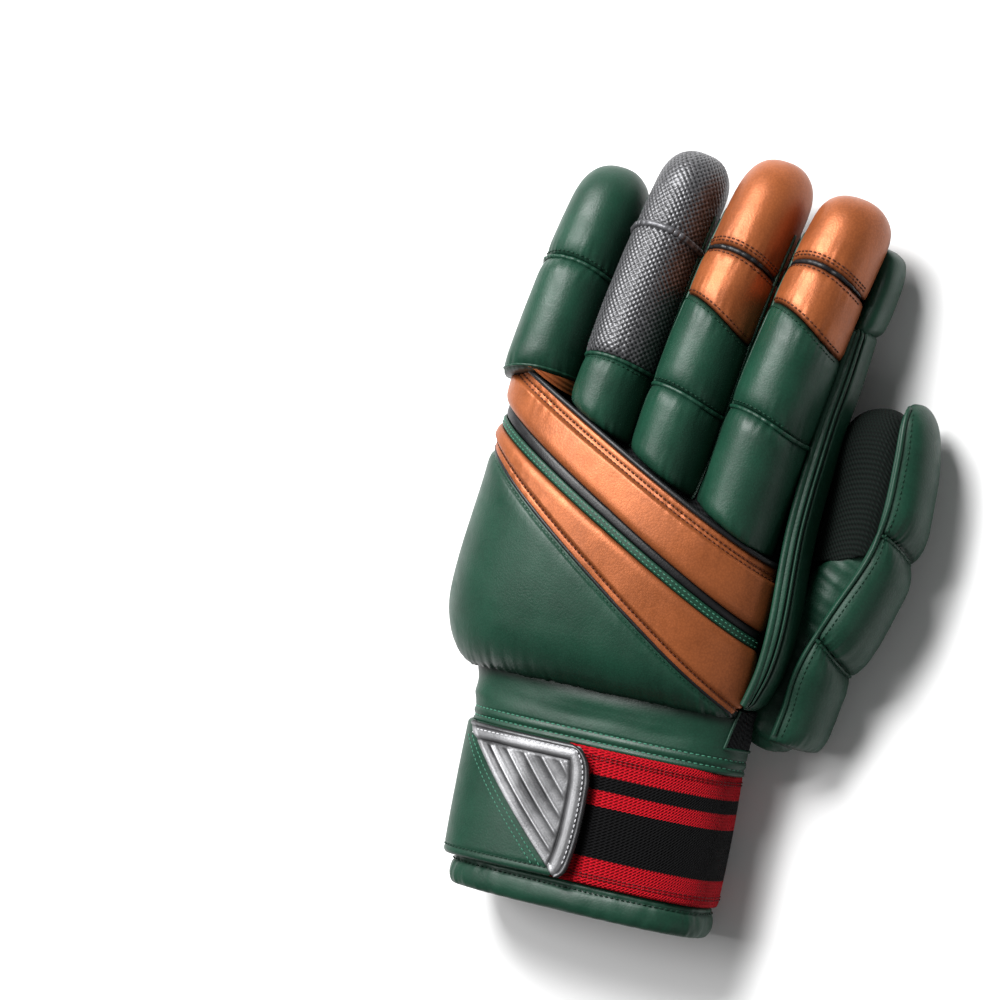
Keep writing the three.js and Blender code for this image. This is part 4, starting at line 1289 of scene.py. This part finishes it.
patch = skin("ribbed_corner", spread(0, 1, 1 / 80), spread(0, 1, 1 / 90), patch_form)
sew(patch, copper_leather, "copper_leather", ["ribbed_patch"])


# The side bar and the index finger's side pad
# A stiff padded bar of green leather down the index finger's outer side, with two stitched grooves along it,
# and a short pad beyond its end beside the fingertip.
BAR_THICKNESS = 6
BAR_HEIGHT = 19
SIDE_PAD_THICKNESS = 8
BAR = stations(
    "along out low size",
    (0.2, 0.452, 0.52, 0.35),
    (0.23, 0.464, 0.52, 0.6),
    (0.33, 0.49, 0.53, 0.85),
    (0.465, 0.502, 0.54, 1),
    (0.77, 0.496, 0.5, 1),
    (1.075, 0.512, 0.4, 1),
    (1.23, 0.527, 0.34, 1),
    (1.385, 0.54, 0.28, 0.95),
)
SIDE_PAD = stations(
    "along out low size",
    (1.36, 0.534, 0.27, 0.8),
    (1.41, 0.54, 0.23, 0.95),
    (1.53, 0.551, 0.14, 0.95),
    (1.6, 0.553, 0.12, 0.85),
    (1.64, 0.553, 0.14, 0.5),
)


def bar_form(path, thickness, grooves):
    start, end = path[0]["along"], path[-1]["along"]

    def form(around, along):
        place = blend(start, end, along)
        out, low, size = (read(path, name, place) for name in ("out", "low", "size"))
        from_end = min(along, 1 - along) * (end - start) * PALM_LENGTH
        full = sqrt(max(0, 1 - max(0, 1 - from_end / 4) ** 2))
        half = BAR_HEIGHT / 2 * (0.8 + 0.2 * size) * blend(0.6, 1, full)
        middle = low * HAND_HEIGHT + BAR_HEIGHT / 2
        face = out * PALM_WIDTH
        if around <= 0.7:
            angle = pi * (around / 0.7 - 0.5)
            depth = thickness * size * full * cos(angle) ** 0.45 if cos(angle) > 0 else 0
            dent = sum(amount * exp(-(((around / 0.7 - spot) / wide) ** 2)) for spot, wide, amount in grooves)
            z = middle + half * power(sin(angle), 0.8)
            away = Vector((cos(angle), 0, sin(angle)))
            point = Vector((face + depth, WRIST + place * PALM_LENGTH, z)) - away * dent * full
            point += away * 0.22 * wander(*point, 14, 8.0)
            # Painted shade in the grooves.
            return point, min(1, dent * 0.9)
        angle = pi * (0.5 - (around - 0.7) / 0.3)
        return Vector((face, WRIST + place * PALM_LENGTH, middle + half * power(sin(angle), 0.8))), 0.0

    return form


bar_rows = [*spread(0, 0.04, 0.004), *spread(0.045, 0.955, 0.006), *spread(0.96, 1, 0.004)]
bar_grooves = [(0.9, 0.026, 1.3), (0.76, 0.03, 1.2), (0.14, 0.03, 0.9)]
bar = skin("side_bar_leather", spread(0, 1, 1 / 110), bar_rows, bar_form(BAR, BAR_THICKNESS, bar_grooves))
sew(bar, green_leather, "green_leather", ["side_bar"])


def bar_edge(place):
    """The bar's upper inner edge, where it meets the padding of the back."""
    out, low, size = (read(BAR, name, place) for name in ("out", "low", "size"))
    half = BAR_HEIGHT / 2 * (0.8 + 0.2 * size)
    z = low * HAND_HEIGHT + BAR_HEIGHT / 2 + half * 0.92
    return Vector((out * PALM_WIDTH - 0.3, WRIST + place * PALM_LENGTH, z))


bar_seam = [bar_edge(place) for place in spread(0.215, 1.37, 0.01)]
cord("side_bar_piping", [bar_seam], 1.7, green_leather, "green_leather")
side_pad_form = bar_form(SIDE_PAD, SIDE_PAD_THICKNESS, [])
side_pad = skin("index_tip_pad", spread(0, 1, 1 / 80), spread(0, 1, 0.02), side_pad_form)
sew(side_pad, green_leather, "green_leather", ["index_side_pad"])


# The wrist band
# A band of green leather over the back of the wrist, between the pad and the elastic. Its lower edge is
# turned and held by two rows of thread, and both its ends are free under the hand.
BAND_START = WRIST - 0.8
BAND_LENGTH = 25.5
BAND_GROW = 0.3 + 2.4
BAND_FOOT_Z = 0.33 * CUFF_HEIGHT


def band_angles(y):
    """The angles at which the band ends, on the thumb's side and the little finger's."""
    ends = []
    for turns in ([-step * 0.02 for step in range(60)], [pi + step * 0.02 for step in range(60)]):
        for turn in turns:
            point = palm(turn, y, BAND_GROW)
            if point.z <= BAND_FOOT_Z + 0.13 * point.x:
                break
        ends.append(turn)
    return ends


BAND_ENDS = band_angles(BAND_START + 13)


def band_surface(share, up, lift=0.0):
    y = BAND_START + up * BAND_LENGTH
    angle = blend(BAND_ENDS[0], BAND_ENDS[1], share)
    from_low = up * BAND_LENGTH
    ridge = 0.5 * exp(-(((from_low - 1.1) / 0.9) ** 2)) + 0.35 * exp(-(((from_low - 4.4) / 1.1) ** 2))
    ditch = 0.4 * exp(-(((from_low - 2.6) / 0.4) ** 2)) + 0.4 * exp(-(((from_low - 6.0) / 0.4) ** 2))
    end = min(share, 1 - share)
    drop = 0.7 * max(0, 1 - end / 0.02) ** 2 + 0.6 * max(0, 1 - from_low / 0.8) ** 2
    first = palm(angle, y, BAND_GROW)
    folds = 0.95 * wander(first.x * 0.6, first.y * 2.6, first.z, 17, 4.0) * min(1, max(0, from_low - 6) / 5)
    point = palm(angle, y, BAND_GROW + ridge - ditch - drop + folds + lift)
    # Painted shadow where the band runs under the pad, and painted shade in the two stitched ditches.
    painted_shadow_under_pad = 0.8 * min(1, max(0, (from_low - 17) / 4.5))
    return point, max(painted_shadow_under_pad, min(1, ditch * 1.6))


band = skin("wrist_leather", spread(0, 1, 1 / 210), spread(0, 1, 1 / 50), band_surface)
sew(wall(band, 2.0), green_leather, "green_leather", ["wrist_band"])


def band_row(from_low):
    up = from_low / BAND_LENGTH
    return [outward(band_surface(share, up, 0.1)[0]) for share in spread(0.02, 0.98, 0.004)]


stitches("wrist_stitches", [band_row(2.6), band_row(6.0)], pale_thread, "green_leather", 2.3, 1.7, 0.65)


def gusset_form(across_it, up):
    """A small stretch gusset of black knit beside the thumb, let into the band's end."""
    share = blend(0.004, 0.15 - 0.03 * up, across_it)
    return band_surface(share, blend(0.4, 1, up), 0.35)[0], 0.0


gusset = skin("wrist_gusset", spread(0, 1, 1 / 40), spread(0, 1, 1 / 30), gusset_form)
sew(wall(gusset, 0.8), black_knit, "black_mesh")
edge = [gusset_form(0, 0)[0], *[gusset_form(u, 0)[0] for u in spread(0.03, 1, 0.03)]]
edge += [gusset_form(1, up)[0] for up in spread(0.03, 1, 0.03)]
cord("gusset_binding", [edge], 0.6, green_leather, "green_leather")


# The thumb
# A stall of green leather that turns into dark green knit towards its tip, with three quilted rolls of
# padding along its outer side and piping where they are sewn on.
THUMB_LENGTH = 143
THUMB_WIDTH = 27.5
THUMB_HEIGHT = 25
THUMB_START = 73
THUMB_ROLL_WIDTH = 29
THUMB_ROLL_HEIGHT = 9
THUMB = stations(
    "along out turn lift",
    (0, 0.45, 15, 0.27),
    (0.16, 0.49, 16, 0.28),
    (0.27, 0.525, 20, 0.32),
    (0.42, 0.605, 25, 0.36),
    (0.64, 0.668, 10, 0.39),
    (0.85, 0.665, 3, 0.38),
    (1, 0.645, 3, 0.36),
)


def thumb_axes(distance):
    """The thumb's place and directions, its up turned out to where the padding is."""

    def place(d):
        along = d / THUMB_LENGTH
        z = read(THUMB, "lift", along) * HAND_HEIGHT
        return Vector((read(THUMB, "out", along) * PALM_WIDTH, THUMB_START + d, z))

    here, ahead, side, up = axes(place, distance)
    turn = read(THUMB, "turn", min(max(distance / THUMB_LENGTH, 0), 1)) * pi / 180
    out = side * cos(turn) + up * sin(turn)
    return here, ahead, ahead.cross(out).normalized(), out


green_knit = knit("dark green knit", (0.0012, 0.0045, 0.003), (0.0004, 0.0008, 0.0006), 1.5, 0.8)
sew(softened("thumb_cuff", "thumb_leather", 1.0, 8, 1.0), green_leather, "green_leather", ["thumb_cuff"])


def thumb_sleeve(around, along):
    """The knit end of the thumb: an oval tube, fuller on the hand's side, closed by a round tip."""
    join = 0.56 * THUMB_LENGTH
    full = 1 if along < 0.6 else max(0, 1 - ((along - 0.6) / 0.4) ** 3.2) ** (1 / 2.3)
    angle = around * 2 * pi
    lie = power(cos(angle), 0.85)
    fuller = 4.5 + 5 * (1 - along) if lie > 0 else 0
    reach = THUMB_WIDTH / 2 - 0.4 + fuller * abs(lie) ** 0.7 * (1 - 0.3 * along)
    slant = 0.6 * lie * THUMB_WIDTH / 2 * (1 - min(1, along * 3))
    distance = blend(join, THUMB_LENGTH - 2.2, along) - slant
    here, ahead, side, out = thumb_axes(distance)
    point = here - out * (reach * full * lie) - side * (THUMB_HEIGHT / 2 * full * power(sin(angle), 0.85))
    return point + Vector((0, 0, 0.25 * wander(*point, 16, 2.0))), 0.0


knit_rows = [*spread(0, 0.6, 0.02), *[0.6 + 0.4 * sin(a) for a in spread(0.08, pi / 2, 0.06)]]
thumb_knit = skin("thumb_knit", spread(0, 1, 1 / 80), knit_rows, thumb_sleeve)
sew(wall(thumb_knit, 1.5), green_knit, "black_mesh", ["thumb_stall"])


def web_form(across, along):
    """The knit web that joins the thumb to the side of the hand."""
    distance = blend(30, 100, along)
    here, ahead, side, out = thumb_axes(distance)
    thumb_side = here - out * 9 + Vector((0, 0, 8.5 - 2 * along))
    hand_side = Vector((0.44 * PALM_WIDTH, thumb_side.y + 5, blend(26, 31, along)))
    point = hand_side.lerp(thumb_side, across)
    point.z -= 4.0 * sin(pi * across)
    point.y -= 7 * sin(pi * across) * along
    return point, 0.0


web = skin("thumb_web", spread(0, 1, 1 / 30), spread(0, 1, 1 / 50), web_form)
sew(wall(web, 1.4), green_knit, "black_mesh")
THUMB_SEAT = {
    "top": THUMB_WIDTH / 2,
    "half_width": THUMB_HEIGHT / 2,
    "half_height": THUMB_WIDTH / 2,
    "flap": 3,
}
THUMB_ROLLS = [
    ("base", 0.065, 0.342, 0, 0.3, (10, 11), (5, 7)),
    ("mid", 0.344, 0.627, 0.3, 0.3, (10, 11), (6.5, 7)),
    ("tip", 0.629, 1.0, 0.3, 0, (10, 5), (6.5, 1)),
]
thumb_rolls = {}
for key, (part, start, end, near_slant, far_slant, rounds, depths) in enumerate(THUMB_ROLLS):
    thumb_rolls[part] = {
        "seat": THUMB_SEAT,
        "axes": thumb_axes,
        "size": lambda d: (THUMB_ROLL_WIDTH / 2, THUMB_ROLL_HEIGHT),
        "near": across(start * THUMB_LENGTH, near_slant),
        "far": across(end * THUMB_LENGTH, far_slant),
        "round": rounds,
        "depth": depths,
        "tip": part == "tip",
        "key": 61 + key * 5.3,
        "weave": None,
        "step": 0.8,
        "girths": 90,
        "over_palm": False,
    }
    name = "thumb_" + part
    make_roll(name + "_padding", thumb_rolls[part], green_leather, "green_leather", [name + "_roll"])


segments = list(thumb_rolls.values())
cord("thumb_piping", [points(down_side(segments, 0.96, 0.4, 0.93))], 1.0, green_leather, "green_leather")
thumb_row = down_side(segments, 0.88, 0.1, 0.9)
stitches("thumb_stitches", [thumb_row], green_thread, "green_leather", 2.2, 1.5, 0.65)
thumb_welts = [points(across_roll(thumb_rolls[part], 0.1, True, 0.6, 0.05, 0.97)) for part in ("base", "mid")]
cord("thumb_welts", thumb_welts, 0.8, green_leather, "green_leather")


# The stage
# A plain pale floor and soft light, with the camera where the photograph was taken from.
floor_shell = bmesh.new()
bmesh.ops.create_grid(floor_shell, x_segments=1, y_segments=1, size=6)
floor = piece_from(floor_shell, "floor")
pale, pale_tree, pale_surface = new_finish("pale floor", 0.9)
pale_surface.inputs["Base Color"].default_value = (0.86, 0.86, 0.86, 1)
floor.data.materials.append(pale)

world = bpy.data.worlds.new("studio")
world.use_nodes = True
world.node_tree.nodes["Background"].inputs["Color"].default_value = (1, 1, 1, 1)
world.node_tree.nodes["Background"].inputs["Strength"].default_value = 0.14
bpy.context.scene.world = world


def softbox(name, place, target, size, power_watts):
    lamp = bpy.data.lights.new(name, "AREA")
    lamp.shape = "RECTANGLE"
    lamp.size, lamp.size_y = size
    lamp.energy = power_watts
    light = bpy.data.objects.new(name, lamp)
    light.location = place
    light.rotation_mode = "QUATERNION"
    light.rotation_quaternion = (Vector(target) - Vector(place)).to_track_quat("-Z", "Y")
    bpy.context.scene.collection.objects.link(light)


softbox("key", (-0.45, 0.7, 0.95), (0, 0.02, 0.03), (0.6, 0.6), 33)
softbox("fill", (1.1, -0.6, 0.9), (0, 0, 0.03), (0.7, 0.7), 1.5)
softbox("over", (-0.75, 0.05, 1.15), (0, 0.03, 0.03), (0.6, 0.6), 9)

eye = bpy.data.cameras.new("camera")
eye.lens = 140.256
eye.sensor_width = 36
eye.clip_start, eye.clip_end = 0.05, 50
camera = bpy.data.objects.new("camera", eye)
right, up, back = (
    Vector((0.89676105, 0.190809, -0.39926375)),
    Vector((-0.17431269, 0.98162718, 0.07760901)),
    Vector((0.40673664, 0.0, 0.91354546)),
)
turn = Matrix((right, up, back)).transposed().to_4x4()
camera.matrix_world = Matrix.Translation(at(565.268, 151.267, 1440.179)) @ turn
bpy.context.scene.collection.objects.link(camera)
bpy.context.scene.camera = camera
bpy.context.scene.view_settings.view_transform = "Standard"
